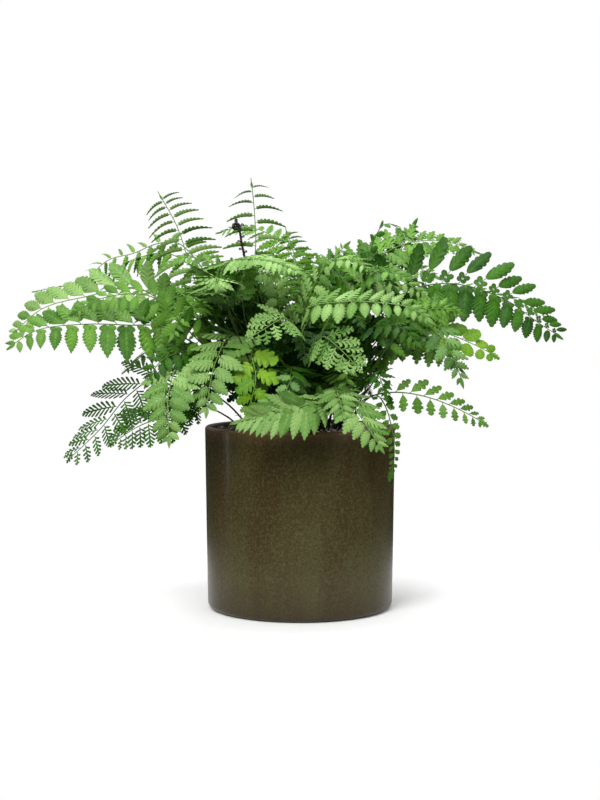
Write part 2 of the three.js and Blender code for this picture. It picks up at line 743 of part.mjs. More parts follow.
// A ring of arching fronds, each in the next of its tiers.
function ringOf(name, ring, tiers, seed) {
  return Array.from({ length: ring.count }, (_, i) => {
    const tier = tiers[i % tiers.length];
    const jitter = ring.scatter * (chance(i, seed) * 2 - 1);
    const turn = rad(lerp(ring.from, ring.to, (i + 0.5) / ring.count) + jitter);
    const reach = tier.reach * lerp(0.94, 1.06, chance(i, seed + 1));
    const spot = (share, z) => [reach * share * Math.cos(turn), reach * share * Math.sin(turn), z];
    const rise = spot(tier.crest[0] * 0.55, lerp(SOIL.crownHeight, tier.crest[1], 0.72));
    return {
      name: name + "_" + String(i + 1).padStart(2, "0"),
      kind: "fill",
      tone: i % 2 ? "mid" : "dark",
      ring: tier.ring,
      face: [0.3 * Math.cos(turn), 0.3 * Math.sin(turn), 1],
      pairs: ring.pairs,
      reach: ring.reach,
      bare: ring.bare,
      route: [rise, spot(...tier.crest), spot(1, tier.tip)],
    };
  });
}

function coilPoints(young) {
  const top = vec(young.route.at(-1));
  const [radius, turns] = young.coil;
  const lean = rad(young.lean);
  const out = new THREE.Vector3(Math.cos(lean), Math.sin(lean), 0);
  const steps = 12;
  return Array.from({ length: steps }, (_, i) => {
    const share = (i + 1) / steps;
    const angle = Math.PI - turns * 2 * Math.PI * share;
    const r = lerp(radius, radius * COIL_END, share);
    const middle = top.clone().addScaledVector(out, radius).add(new THREE.Vector3(0, 0, 4));
    middle.z += r * Math.sin(angle);
    return middle.addScaledVector(out, r * Math.cos(angle));
  });
}

function stemPieces(frond) {
  const end = frond.walk.frame(frond.walk.total);
  const frames = [...frond.frames, end];
  return frames.slice(1).map((frame, i) => stemPiece(frond, frames[i], frame, CLEAR.stem / 2));
}

function planFrond(spec, slots) {
  const frond = { ...KINDS[spec.kind], ...spec, face: vec(spec.face) };
  const points = spec.route.map(vec);
  for (const slot of rootsFor(slots, points.at(-1), spec.ring)) {
    const root = new THREE.Vector3(slot[0], slot[1], SOIL.crownHeight - CROWN.depth);
    const knots = [root, shoulder(root, points[0]), ...points, ...(spec.coil ?? [])];
    for (const sway of SWAYS) {
      frond.walk = walker(knots, sway, frond.face);
      const { stations, firstLeaf } = spec.coil ? coilStations(frond) : stationsOf(frond);
      frond.firstLeaf = firstLeaf;
      frond.frames = stations.map(frond.walk.frame);
      const pieces = stemPieces(frond);
      if (pieces.some((piece) => meets(piece, () => false))) continue;
      pieces.forEach((piece, i) => stand(piece, frond.name, i));
      slots.splice(slots.indexOf(slot), 1);
      return frond;
    }
  }
  throw new Error("no clear way for " + frond.name);
}

function planLeaves(frond, index) {
  frond.leaves = new Map();
  for (const leaf of leavesOf(frond, index)) {
    for (const pose of POSES) {
      const sheet = leafSheet(frond, leaf, pose);
      const whole = wholeLeafShell(frond, sheet, leaf, 0);
      if (folds(whole)) continue;
      const guard = wholeLeafShell(frond, sheet, leaf, CLEAR.blade).solid();
      const slim = leafPiece(sheet, leaf, CLEAR.ownStart, CLEAR.own);
      const own = (other) => other.owner === frond.name;
      const joined = (other) => !other.blade && Math.abs(other.place - leaf.place) < 2;
      if (meets(guard, own)) continue;
      if (meets(slim, (other) => !own(other) || joined(other))) continue;
      stand(whole.solid(), frond.name, leaf.place, true);
      frond.leaves.set(leaf.place, { leaf, sheet });
      break;
    }
  }
}

// One frond as one closed body: the three sided stem, with a leaflet in place of a side where one grows.
function frondGeometry(frond) {
  const shell = new Shell();
  const { frames } = frond;
  const rings = frames.map((frame) => corners(frame, stemWidth(frond, frame.s)).map((p) => shell.add(p)));
  shell.fan(rings[0][0], rings[0][2], rings[0][1]);
  for (let i = 0; i < rings.length - 1; i++) {
    const [l0, r0, k0] = rings[i];
    const [l1, r1, k1] = rings[i + 1];
    shell.fan(l0, r0, r1, l1);
    const grown = frond.leaves.get(i);
    if (grown?.leaf.side === 1) addLeaf(shell, grown.sheet, grown.leaf, [r0, r1], [k0, k1]);
    else shell.fan(r0, k0, k1, r1);
    if (grown?.leaf.side === -1) addLeaf(shell, grown.sheet, grown.leaf, [l1, l0], [k1, k0]);
    else shell.fan(k0, l0, l1, k1);
  }
  const end = shell.add(frond.walk.at(frond.walk.total));
  const [l, r, k] = rings.at(-1);
  shell.fan(l, r, end);
  shell.fan(r, k, end);
  shell.fan(k, l, end);
  return shell.geometry();
}

function holeFor(frond) {
  const [from, to] = frond.frames;
  const below = { ...from, point: from.point.clone().addScaledVector(from.along, -CROWN.holeGap) };
  return stemPiece(frond, below, to, CROWN.holeGap);
}

// Assembly

function material(color, roughness, metalness = 0) {
  return new THREE.MeshStandardMaterial({ color, roughness, metalness });
}

function piece(name, geometry, look) {
  const mesh = new THREE.Mesh(geometry, look);
  mesh.name = name;
  return mesh;
}

const specs = [
  ...YOUNG.map((young) => {
    const coil = coilPoints(young);
    const coilLength = young.coil[0] * 2 * Math.PI * young.coil[1] * 0.65;
    const looks = { kind: "fill", tone: "young", face: [0, -1, 0.2], pairs: 0 };
    return { ...young, ...looks, coil, coilLength };
  }),
  ...ringOf("frond_low", LOW, [LOW_TIER], 11),
  ...SEEN.map((spec) => ({ ...spec, name: "frond_" + spec.name })),
  ...ringOf("frond_back", BACK, TIERS, 1),
];

const pot = solidOf(potGeometry());
const plainSoil = solidOf(soilGeometry());
stand(pot, "pot");
const slots = crownSlots(specs.length + CROWN.spare);
const fronds = specs.map((spec) => planFrond(spec, slots));
stand(plainSoil, "soil");
fronds.forEach(planLeaves);
const soil = fronds.map(holeFor).reduce((left, hole) => left.subtract(hole), plainSoil);

const fern = new THREE.Group();
fern.add(piece("pot", geometryOf(pot), material("#4a4630", 0.3)));
fern.add(piece("soil", geometryOf(soil), material("#33291f", 0.95)));
for (const frond of fronds) {
  fern.add(piece(frond.name, frondGeometry(frond), material(TONES[frond.tone], 0.5)));
}

export default fern;
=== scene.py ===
# The looks of a potted mother fern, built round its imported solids.
# Blender works in metres. The plant's own sizes are given in millimetres, as on the solids.

import math

import bpy
import numpy as np
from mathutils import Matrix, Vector


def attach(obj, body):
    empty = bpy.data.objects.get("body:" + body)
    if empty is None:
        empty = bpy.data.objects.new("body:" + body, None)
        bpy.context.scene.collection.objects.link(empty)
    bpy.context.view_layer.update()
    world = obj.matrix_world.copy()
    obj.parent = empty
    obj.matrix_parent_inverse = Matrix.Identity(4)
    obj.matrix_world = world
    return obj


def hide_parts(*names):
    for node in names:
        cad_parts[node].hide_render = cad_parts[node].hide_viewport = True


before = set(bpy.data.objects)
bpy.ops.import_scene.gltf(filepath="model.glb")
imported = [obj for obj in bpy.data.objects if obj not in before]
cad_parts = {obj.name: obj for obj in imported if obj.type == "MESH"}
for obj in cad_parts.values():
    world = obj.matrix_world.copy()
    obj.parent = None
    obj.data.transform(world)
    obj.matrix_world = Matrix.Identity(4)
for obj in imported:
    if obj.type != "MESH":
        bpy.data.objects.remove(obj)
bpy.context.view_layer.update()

MM = 0.001
GOLDEN_ANGLE = math.radians(137.508)
DOWN = np.array([0.0, 0.0, -1.0])
RISE = np.array([0.0, 0.0, 1.0])

# The pot, the soil and the crown, in millimetres

POT_HEIGHT = 192
POT_RIM = 100
POT_FOOT = 97.5
POT_WALL = 6.5
POT_LIP = 3.2
POT_FLOOR = 12
POT_SIDES = 192
FOOT_FLAT = 90
FOOT_RECESS = 1.2

SOIL_EDGE = 187
SOIL_CROWN = 189
SOIL_RADIUS = 92.8
SOIL_MOUND = 58
SOIL_SIDES = 150
SOIL_RINGS = 46
SOIL_MIDDLE = 1.5

CROWN_CENTRE = (0, 4)
CROWN_SPACING = 7.3
CROWN_DEPTH = 8
CROWN_EMERGE = 16
CROWN_SPARE = 12
CROWN_SURFACE = 0.95
SHOULDER = np.array([0.36, 0.36, 0.58])

STEM_BASE = 1.3
STEM_TIP = 0.5
STEM_THINNING = 0.8
STEM_SIDES = 7
STEM_STEP = 6
TIP_LENGTH = 9
CURVE_STEPS = 16
LOOK_AHEAD = 2
GENTLE_TURN = math.cos(math.radians(8))
SHARP_ANGLE = math.radians(62)

# How the leaflets sit on a frond, as on the solids. pairs: leaflets on each side of the solid.
# fine: leaflets on each side here. reach: the longest one. breadth: width as a share of length.
# last: the last one as a share of the longest. bare: share of the stem below the first. sweep and
# lift: how far it leans to the tip and up. gain: how much more the last one leans. upright: how much
# more one leans that stands up from its stem, and how much less one that hangs. twist: how far its
# face turns. droop: how far it hangs. form: its kind of blade.

USUAL = dict(last=0.2, gain=22, upright=12, lift=0, twist=0)
KINDS = {
    "comb": dict(USUAL, form="crescent", pairs=8, breadth=0.2, last=0.42, bare=0.5, sweep=20, gain=0,
                 upright=-12, lift=4, twist=30, droop=0.6),
    "broad": dict(USUAL, form="lance", fine=14, bare=0.36, sweep=12, gain=18, droop=0.16),
    "round": dict(USUAL, form="round", last=0.24, bare=0.5, sweep=16, gain=18, lift=4, droop=0.1),
    "rhomb": dict(USUAL, form="wedge", fine=9, last=0.24, sweep=24, lift=2, droop=0.1),
    "lacy": dict(USUAL, form="lace", pairs=6, reach=38, sweep=20, droop=0.14),
    "small": dict(USUAL, form="lobed", fine=7, reach=22, breadth=0.6, bare=0.5, sweep=18, droop=0.14),
    "trail": dict(USUAL, form="wedge", fine=11, last=0.3, bare=0.42, sweep=24, droop=0.1),
    "fill": dict(USUAL, form="cut", fine=14, pairs=6, breadth=0.38, bare=0.4, sweep=16, droop=0.2),
}


def frond(name, kind, tone, face, route, **own):
    """One frond: what its kind gives and what is its own. upper and the values named after it: the
    blades of the row that stands up, where they differ. roll: how far the blades turn. look: the tone
    of its material, where it isn't its own tone."""
    return {**KINDS[kind], **own, "name": "frond_" + name, "tone": tone, "face": face, "route": route}


# Fronds that the photograph shows: name, kind, tone, the way the face looks, and the places that the
# stem passes

SEEN = [
    frond("comb_centre", "comb", "light", (0, -1, 0.15), [(-47, 15, 350), (-47, 22, 388), (-49, 24, 425),
          (-52, 20, 453)], pairs=6, reach=32, bare=0.66, fine=6),
    frond("comb_left", "comb", "light", (-0.1, -1, 0.2), [(-103, 20, 324), (-119, 35, 365),
          (-132, 40, 403), (-152, 36, 440)], breadth=0.19, reach=38, fine=13),
    frond("left_main", "broad", "mid", (-0.2, -0.85, 0.5), [(-137, -60, 295), (-170, -85, 298),
          (-213, -105, 299), (-257, -120, 293), (-285, -125, 275)], pairs=11, reach=45, bare=0.3,
          breadth=0.48, fine=13, upper="fan", upper_breadth=0.62, roll=20),
    frond("left_upper", "broad", "light", (-0.2, -0.9, 0.45), [(-140, -20, 320), (-169, -40, 336),
          (-215, -60, 327), (-259, -75, 314), (-290, -80, 286)], pairs=9, reach=36, breadth=0.66,
          bare=0.42, fine=13, form="fan", roll=24),
    frond("right_main", "broad", "dark", (0.2, -0.95, 0.35), [(98, -20, 324), (128, -35, 338),
          (164, -45, 339), (210, -50, 323), (243, -50, 300), (268, -50, 284)], pairs=12, reach=43,
          breadth=0.55, bare=0.34, fine=15, form="glossy", upper="paddle", upper_breadth=0.37,
          upper_length=1.28),
    frond("right_behind", "fill", "mid", (0.2, -0.5, 0.9), [(136, 4, 329), (177, -2, 333),
          (223, -8, 325), (268, -8, 303)], reach=30),
    frond("right_upper", "broad", "light", (0.1, -0.6, 0.8), [(79, 20, 364), (117, 30, 385),
          (158, 35, 386), (194, 38, 374)], breadth=0.5, pairs=9, reach=35, bare=0.4, fine=18,
          form="fern", look="mid"),
    frond("right_upright", "small", "mid", (0, -1, 0.3), [(93, 34, 345), (112, 46, 385), (126, 46, 412)],
          pairs=5, bare=0.62, fine=9, form="fern"),
    frond("right_round", "round", "yellow", (0.2, -0.9, 0.4), [(107, -40, 288), (142, -55, 291),
          (172, -62, 280), (201, -65, 265)], pairs=7, reach=26, fine=7, breadth=0.84),
    frond("right_grey", "small", "grey", (0.3, -0.95, 0.4), [(114, -85, 301), (137, -105, 288),
          (151, -115, 264), (160, -118, 237)], pairs=5, reach=30, bare=0.45, fine=9, form="fern"),
    frond("right_hang", "broad", "mid", (0.2, -0.75, 0.6), [(86, -60, 275), (110, -78, 282),
          (139, -84, 272), (163, -84, 256)], pairs=6, reach=32, bare=0.42, fine=9, form="fern",
          breadth=0.58),
    frond("right_low", "rhomb", "mid", (0.2, -0.9, 0.45), [(72, -70, 226), (98, -85, 231),
          (129, -95, 226), (159, -100, 214), (186, -100, 199)], pairs=8, reach=22, bare=0.4,
          breadth=0.54),
    frond("trailing", "trail", "mid", (0.4, -1, 0.2), [(85, -68, 228), (97, -80, 216), (100, -84, 195),
          (97, -86, 168), (89, -86, 143)], reach=10, pairs=9, breadth=0.86),
    frond("lacy_left_upper", "lacy", "dark", (-0.5, -0.8, 0.4), [(-140, -30, 246), (-174, -50, 227),
          (-203, -65, 192), (-235, -75, 161)], breadth=0.46, pairs=7, reach=46, bare=0.36, fine=10),
    frond("lacy_left_lower", "lacy", "dark", (-0.3, -0.8, 0.5), [(-112, -50, 218), (-141, -68, 205),
          (-165, -78, 195), (-190, -84, 178)], breadth=0.46, pairs=5, bare=0.42, fine=10),
    frond("front_left_long", "broad", "light", (-0.35, -1, 0.35), [(-115, -92, 258), (-125, -125, 233),
          (-126, -140, 207), (-126, -145, 181)], breadth=0.62, pairs=7, reach=36, fine=10,
          form="crenate"),
    frond("front_left_short", "broad", "light", (-0.2, -1, 0.4), [(-73, -60, 288), (-86, -112, 262),
          (-91, -135, 209)], breadth=0.62, pairs=6, reach=38, fine=10, form="crenate"),
    frond("over_rim_left", "broad", "light", (-0.1, -0.9, 0.5), [(24, -106, 226), (0, -128, 219),
          (-34, -138, 212), (-67, -140, 204)], sweep=44, pairs=7, reach=38, bare=0.38, breadth=0.4),
    frond("over_rim_right", "broad", "light", (0.2, -0.8, 0.6), [(42, -104, 230), (54, -128, 216),
          (67, -142, 197), (81, -148, 176)], sweep=26, pairs=6, reach=32, bare=0.42, fine=8,
          form="crenate", breadth=0.54),
    frond("yellow_front", "small", "yellow", (0, -1, 0.3), [(-48, -105, 272), (-43, -118, 247),
          (-47, -120, 227), (-53, -118, 208)], pairs=5, reach=30, bare=0.42, fine=6, breadth=0.76),
    frond("lacy_front", "lacy", "light", (0, -1, 0.45), [(21, -110, 287), (39, -132, 275),
          (59, -146, 254)], pairs=5, reach=34, bare=0.5, fine=8, form="parsley", breadth=0.58),
    frond("lacy_front_left", "lacy", "light", (0, -0.8, 0.6), [(14, -96, 300), (-10, -120, 303),
          (-52, -134, 285)], pairs=5, reach=34, bare=0.52, fine=8, form="parsley", breadth=0.54),
    frond("blue_round", "small", "grey", (-0.1, -1, 0.3), [(-2, -112, 248), (-12, -126, 233),
          (-19, -130, 214)], pairs=5, reach=18, bare=0.36, breadth=0.7),
    frond("small_front", "small", "mid", (0.1, -1, 0.2), [(44, -92, 262), (46, -112, 248),
          (40, -120, 224)], pairs=5, reach=20, bare=0.34, fine=8, form="fern", breadth=0.58),
    frond("centre_bright", "broad", "light", (0, -0.75, 0.75), [(5, -92, 312), (42, -120, 321),
          (77, -130, 320), (106, -135, 315), (130, -138, 300)], pairs=8, reach=26, bare=0.42, fine=15,
          form="crenate", breadth=0.56),
    frond("umbrella_left", "lacy", "light", (0, -0.35, 1), [(-70, -30, 312), (-80, -84, 338),
          (-84, -150, 328)], droop=0.24, reach=42, bare=0.44, fine=17, form="fern", breadth=0.38),
    frond("umbrella_right", "small", "light", (0.1, -0.5, 1), [(-67, -6, 340), (-58, -46, 362),
          (-25, -86, 362), (4, -112, 348)], droop=0.24, pairs=6, reach=34, fine=20, form="fern",
          breadth=0.4),
    frond("back_arch", "fill", "mid", (0, -0.6, 1), [(5, 36, 345), (-28, 58, 392), (-60, 74, 404),
          (-93, 82, 398)], reach=28, bare=0.5, fine=15),
    frond("top_small", "comb", "mid", (0, -1, 0.3), [(0, 10, 340), (-7, 22, 375), (-16, 28, 402)],
          pairs=5, reach=22, bare=0.66, fine=9),
    frond("top_tip", "fill", "mid", (0.3, -0.6, 0.7), [(27, 40, 340), (36, 52, 368), (54, 62, 388)],
          pairs=5, reach=26, fine=12),
    frond("back_left_low", "comb", "mid", (0, -0.8, 0.6), [(-132, 70, 386), (-158, 80, 386),
          (-184, 88, 376), (-212, 92, 369), (-233, 92, 351)], droop=0.8, breadth=0.26, pairs=6, reach=27,
          fine=11),
    frond("far_left_thin", "fill", "mid", (0, -0.4, 1), [(-142, 62, 324), (-189, 95, 338),
          (-236, 112, 343), (-267, 114, 340), (-302, 118, 334)], pairs=5, reach=18, bare=0.5),
    frond("top_left", "fill", "mid", (-0.2, -0.5, 1), [(-66, 4, 330), (-92, -2, 362), (-120, -10, 368),
          (-146, -16, 358)], reach=30),
    frond("mid_right", "broad", "mid", (0.1, -0.6, 0.8), [(39, -34, 293), (58, -58, 338), (85, -78, 352),
          (112, -92, 342)], pairs=6, reach=32, bare=0.34, form="fern", breadth=0.5),
    frond("mid_top", "fill", "light", (0.1, -0.5, 0.9), [(8, -12, 324), (30, -28, 361), (54, -44, 364),
          (80, -60, 346)], reach=32, bare=0.34, fine=15, form="fern"),
    frond("mid_left", "broad", "mid", (-0.3, -0.8, 0.6), [(-67, -34, 305), (-92, -66, 316),
          (-114, -90, 306), (-130, -102, 282)], pairs=6, reach=30, bare=0.32, form="fern", breadth=0.5),
    frond("right_inner", "fill", "dark", (0.2, -0.7, 0.7), [(53, -55, 273), (74, -88, 297),
          (98, -108, 296), (119, -120, 276)], pairs=5, reach=30, bare=0.28, fine=12, form="fern",
          breadth=0.5),
    frond("left_inner", "fill", "dark", (-0.3, -0.8, 0.6), [(-80, -48, 262), (-112, -80, 272),
          (-138, -98, 262), (-154, -104, 236)], pairs=5, reach=30, bare=0.28, fine=12, form="fern",
          breadth=0.5),
    frond("centre_low", "fill", "dark", (0, -0.8, 0.6), [(-6, -66, 262), (-22, -98, 270),
          (-36, -112, 262), (-48, -116, 240)], reach=26, bare=0.26, fine=12, form="fern", breadth=0.5),
    frond("centre_right_low", "fill", "dark", (0.2, -0.8, 0.6), [(34, -66, 238), (54, -94, 250),
          (72, -106, 244), (88, -108, 224)], reach=26, bare=0.26, fine=12, form="fern", breadth=0.5),
]

TAPER_FIRST = 0.72
TAPER_BELLY = 0.26
TAPER_FALL = 1.35
CROWDING = 1.3

# Ways in which a leaflet gives way to what is in front of it: more droop, more lift, size.
POSES = [
    (0, 0, 1), (0.14, 0, 1), (-0.14, 8, 1), (0.28, -8, 0.94), (-0.1, 20, 0.92),
    (0.1, -22, 0.9), (0, 0, 0.76), (0.18, 14, 0.72), (0, -32, 0.72), (0, 0, 0.55),
]

# A pose counts where the solid comes this near to the leaflet's tip, which stands so high on its sheet.
NEAR_ENOUGH = 1.0
SOLID_HALF = 0.35

# The draws for a leaflet's length on the solids and here, and for a ring's reach
VARIED = (0.94, 1.06)
VARIED_HERE = (0.92, 1.06)

# The thin blades here make themselves less small than the solid ones do, by this power, and each
# turns about its own length by up to so many degrees.
FULLER = 0.4
ROLL = 16

# Ways in which a stem bows aside, in millimetres at its middle.
SWAYS = [0, 4, -4, 8, -8, 12, -12, 17, -17, 23, -23]

# Rings of fronds: round the back in three tiers, and low round the front. crest: share of the reach
# at which the stem is highest, and that height. On its way there it passes RING_RISE, and its face
# leans outward by RING_FACE.
RING_RISE = (0.55, 0.72)
RING_FACE = 0.3
BACK = dict(count=11, start=30, end=168, scatter=7, own=dict(pairs=5, reach=38, bare=0.36))
TIERS = [
    dict(reach=232, crest=(0.56, 306), tip=242),
    dict(reach=205, crest=(0.58, 340), tip=300),
    dict(reach=150, crest=(0.6, 366), tip=350),
]
BACK_SEED = 1
LOW = dict(count=5, start=205, end=338, scatter=6, own=dict(pairs=4, reach=26, bare=0.3))
LOW_TIER = dict(reach=92, crest=(0.74, 248), tip=222)
LOW_SEED = 11

# The curled young fronds: outer radius and turns of the coil, and the way that it leans. Its
# innermost radius is COIL_END of the outer one.
COIL_END = 0.42
COIL_STEPS = 12
COIL_RAISED = 4
YOUNG = [
    dict(name="crozier_front", coil=(4, 1.25), lean=200, route=[(-57, -14, 366), (-62.5, -18, 395)]),
    dict(name="crozier_back", coil=(4, 1.2), lean=60, route=[(26, 84, 300), (30, 92, 322)]),
]

# Kinds of blade. outline: the powers that shape it, so that it is widest near its foot or its tip.
# teeth: on each side, and how deep they are cut on the side to the frond's tip and on the other.
# smooth: share of the blade, from its foot, that has no teeth. arch: how far its edges curve down.
# slant: how far its side veins run forward.
FORMS = {
    "lance": dict(outline=(0.74, 1.0), teeth=9, cuts=(0.28, 0.28), smooth=0.14, arch=0.2, slant=0.9),
    "crescent": dict(outline=(0.56, 0.5), teeth=8, cuts=(0.7, 0.12), smooth=0.04, arch=0.3, slant=0.7),
    "paddle": dict(outline=(1.15, 0.64), teeth=6, cuts=(0.24, 0.24), smooth=0.3, arch=0.26, slant=0.9),
    "glossy": dict(outline=(0.78, 0.72), teeth=8, cuts=(0.26, 0.26), smooth=0.1, arch=0.32, slant=1.0),
    "crenate": dict(outline=(0.68, 0.7), teeth=7, cuts=(0.5, 0.5), smooth=0.02, arch=0.3, slant=1.0),
    "fern": dict(outline=(0.68, 0.8), teeth=5, cuts=(0.62, 0.62), smooth=0.02, arch=0.26, slant=1.1),
    "fan": dict(outline=(1.26, 0.8), teeth=8, cuts=(0.24, 0.24), smooth=0.34, arch=0.18, slant=0.6),
    "round": dict(outline=(1.2, 0.5), teeth=5, cuts=(0.18, 0.18), smooth=0.34, arch=0.12, slant=0.25),
    "wedge": dict(outline=(1.4, 0.74), teeth=4, cuts=(0.5, 0.5), smooth=0.3, arch=0.1, slant=0.7),
    "lobed": dict(outline=(1.0, 0.56), teeth=4, cuts=(0.56, 0.56), smooth=0.1, arch=0.14, slant=0.8),
    "cut": dict(outline=(0.74, 0.7), teeth=6, cuts=(0.66, 0.66), smooth=0.04, arch=0.16, slant=1.1),
}

# Lacy blades: spacing of their segments, half width of each, and forks on each.
LACES = {"lace": (4.7, 1.25, 0), "parsley": (5.0, 1.15, 2)}

# The first and the last angle of a lacy blade's segments in degrees, the turn of a fork in radians,
# its length and width, and the shortest segment that forks.
LACE_ANGLES = (58, 34)
FORK_TURN = 0.62
FORK_LENGTH = 0.44
FORK_WIDTH = 0.8
FORKED_FROM = 2.6

# Places along a tooth, and how far its edge has come out there.
TOOTH = [(0.0, 0.0), (0.34, 0.84), (0.74, 1.0)]
TOOTH_END = (0.985, 0.6)
TEETH_GROW = 0.14

# A blade's thickness in millimetres, and the half width below which it is thinner. How far its
# middle lags behind its edges, at most and from where on. Heights of its quilt and of its groove.
BLADE_THICK = 0.34
THIN_BELOW = 1.2
LAG_LEAST = 0.4
LAG_GROW = 0.3
QUILT = 0.09
GROOVE = 0.1

# Points of a blade's section, by share of its half width, and whether each is on its upper side.
FULL_SECTION = np.array([(-1, 0), (-0.5, 1), (0, 1), (0.5, 1), (1, 0), (0.5, -1), (0, -1), (-0.5, -1)])
LIGHT_SECTION = np.array([(-1, 0), (0, 1), (1, 0), (0, -1)])

# Places along a segment of a lacy leaflet, and its width at each.
SEGMENT_ROWS = np.array([0.04, 0.4, 0.78, 0.97])
SEGMENT_WIDTHS = np.array([0.5, 0.82, 1.0, 0.56])
SEGMENT_HALF_THICK = 0.2
SEGMENT_ARCH = 0.12

# How a leaflet on a stalk begins: where its stalk ends and its blade starts, as shares of its length,
# how full the blade is, and the pairs of small blades at its foot, each by its place and size.
PLAIN_FOOT = (0.14, 0.04, 1, ())
EARED_FOOT = (0.16, 0.06, 1, ((0.02, 0.24),))
PADDLE_FOOT = (0.36, 0.28, 0.9, ((0.08, 0.17), (0.2, 0.2)))
EARED_LENGTH = 15
STALK_RADIUS = 0.42
STALK_SUNK = 0.6
CUT_SUNK = 0.4
UPWARD = 0.1

# The small blades at a leaflet's foot: how far aside they stand, their angle and their half width.
PINNULE_ASIDE = 0.3
PINNULE_ANGLE = 0.95
PINNULE_HALF = 0.42

# The two materials of a frond, by their place in its list
LEAF, STEM = 0, 1


# Small functions on numbers and vectors

def lerp(a, b, share):
    return a + (b - a) * share


def unit(v):
    return v / np.linalg.norm(v)


def square(v, n):
    """The part of v that stands square to n."""
    return v - n * np.dot(v, n)


def turned(v, axis, angle):
    """v turned about an axis of length 1."""
    turned_part = np.cross(axis, v) * math.sin(angle)
    return v * math.cos(angle) + turned_part + axis * np.dot(axis, v) * (1 - math.cos(angle))


def chance(a, b):
    """A number from 0 to 1 that is always the same for the same a and b."""
    wave = math.sin(a * 12.9898 + b * 78.233) * 43758.5453
    return wave - math.floor(wave)


def pick(low, high, a, b):
    return lerp(low, high, chance(a, b))


def turns_of(count):
    """As many angles, evenly round a circle."""
    return np.linspace(0, 2 * np.pi, count + 1)[:-1]


def spokes(first, second, count, flat=1.0):
    """Ways out from a middle line, all round it, from the first way over the second."""
    angles = turns_of(count)
    return first * np.cos(angles)[:, None] + second * (np.sin(angles) * flat)[:, None]


# Stems: a smooth curve through a few points, walked by its length

def curve_points(knots, steps):
    """Points on the centripetal curve through the knots, as many for each stretch."""
    ends = [2 * knots[0] - knots[1], *knots, 2 * knots[-1] - knots[-2]]
    points = []
    for i in range(len(knots) - 1):
        p0, p1, p2, p3 = ends[i:i + 4]
        gaps = [math.sqrt(np.linalg.norm(b - a)) for a, b in ((p0, p1), (p1, p2), (p2, p3))]
        start = (p1 - p0) / gaps[0] - (p2 - p0) / (gaps[0] + gaps[1]) + (p2 - p1) / gaps[1]
        end = (p2 - p1) / gaps[1] - (p3 - p1) / (gaps[1] + gaps[2]) + (p3 - p2) / gaps[2]
        start, end = start * gaps[1], end * gaps[1]
        for k in range(steps):
            t = k / steps
            bend = (-3 * p1 + 3 * p2 - 2 * start - end) * t * t
            points.append(p1 + start * t + bend + (2 * p1 - 2 * p2 + start + end) * t ** 3)
    points.append(knots[-1])
    return np.array(points)


class Walk:
    """A stem's middle line, bowed aside, with places on it given by the length walked."""

    def __init__(self, knots, sway, face):
        points = curve_points(knots, CURVE_STEPS)
        span = knots[-1] - knots[0]
        aside = unit(np.array([-span[1], span[0], 0.0]))
        bow = np.sin(np.pi * np.linspace(0, 1, len(points))) ** 2
        self.points = points + aside * (sway * bow)[:, None]
        steps = np.linalg.norm(np.diff(self.points, axis=0), axis=1)
        self.lengths = np.concatenate([[0], np.cumsum(steps)])
        self.total = self.lengths[-1]
        # From the tip down, the upper side keeps to the face for as long as it turns gently.
        self.ups = np.empty_like(self.points)
        for i in reversed(range(len(self.points))):
            along = self.along(self.lengths[i])
            wanted = unit(square(np.array(face, float), along))
            last = i == len(self.points) - 1
            carried = wanted if last else unit(square(self.ups[i + 1], along))
            self.ups[i] = wanted if wanted @ carried > GENTLE_TURN else carried

    def between(self, values, s):
        i = int(np.clip(np.searchsorted(self.lengths, s), 1, len(self.points) - 1))
        share = (s - self.lengths[i - 1]) / (self.lengths[i] - self.lengths[i - 1])
        return lerp(values[i - 1], values[i], share)

    def at(self, s):
        return self.between(self.points, s)

    def along(self, s):
        return unit(self.at(min(s + LOOK_AHEAD, self.total)) - self.at(max(s - LOOK_AHEAD, 0)))

    def frame(self, s):
        """The point at s, the way along the stem, its upper side and its right side."""
        along = self.along(s)
        up = unit(square(self.between(self.ups, s), along))
        return self.at(s), along, up, np.cross(along, up)

    def width(self, s):
        return lerp(STEM_BASE, STEM_TIP, min(1, s / self.total) ** STEM_THINNING)


# The list of fronds, in the order in which they were planned

def ring_of(name, ring, tiers, seed):
    fronds = []
    for i in range(ring["count"]):
        tier = tiers[i % len(tiers)]
        jitter = ring["scatter"] * (chance(i, seed) * 2 - 1)
        turn = math.radians(lerp(ring["start"], ring["end"], (i + 0.5) / ring["count"]) + jitter)
        reach = tier["reach"] * pick(*VARIED, i, seed + 1)
        x, y = math.cos(turn), math.sin(turn)
        crest = tier["crest"]
        rise = (crest[0] * RING_RISE[0], lerp(SOIL_CROWN, crest[1], RING_RISE[1]))
        steps = [rise, crest, (1, tier["tip"])]
        route = [(reach * share * x, reach * share * y, z) for share, z in steps]
        tone = "mid" if i % 2 else "dark"
        face = (RING_FACE * x, RING_FACE * y, 1)
        fronds.append(frond(f"{name}_{i + 1:02d}", "fill", tone, face, route, **ring["own"]))
    return fronds


def coil_points(young):
    radius, turns = young["coil"]
    lean = math.radians(young["lean"])
    out = np.array([math.cos(lean), math.sin(lean), 0.0])
    middle = np.array(young["route"][-1], float) + out * radius + RISE * COIL_RAISED
    points = []
    for i in range(COIL_STEPS):
        share = (i + 1) / COIL_STEPS
        angle = math.pi - turns * 2 * math.pi * share
        r = lerp(radius, radius * COIL_END, share)
        points.append(middle + out * (r * math.cos(angle)) + RISE * (r * math.sin(angle)))
    return points


def all_specs():
    young = [dict(y, tone="young", face=(0, -1, 0.2), coil_points=coil_points(y)) for y in YOUNG]
    low = ring_of("low", LOW, [LOW_TIER], LOW_SEED)
    return [*young, *low, *SEEN, *ring_of("back", BACK, TIERS, BACK_SEED)]


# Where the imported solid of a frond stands: its root, its bow and the pose of each leaflet

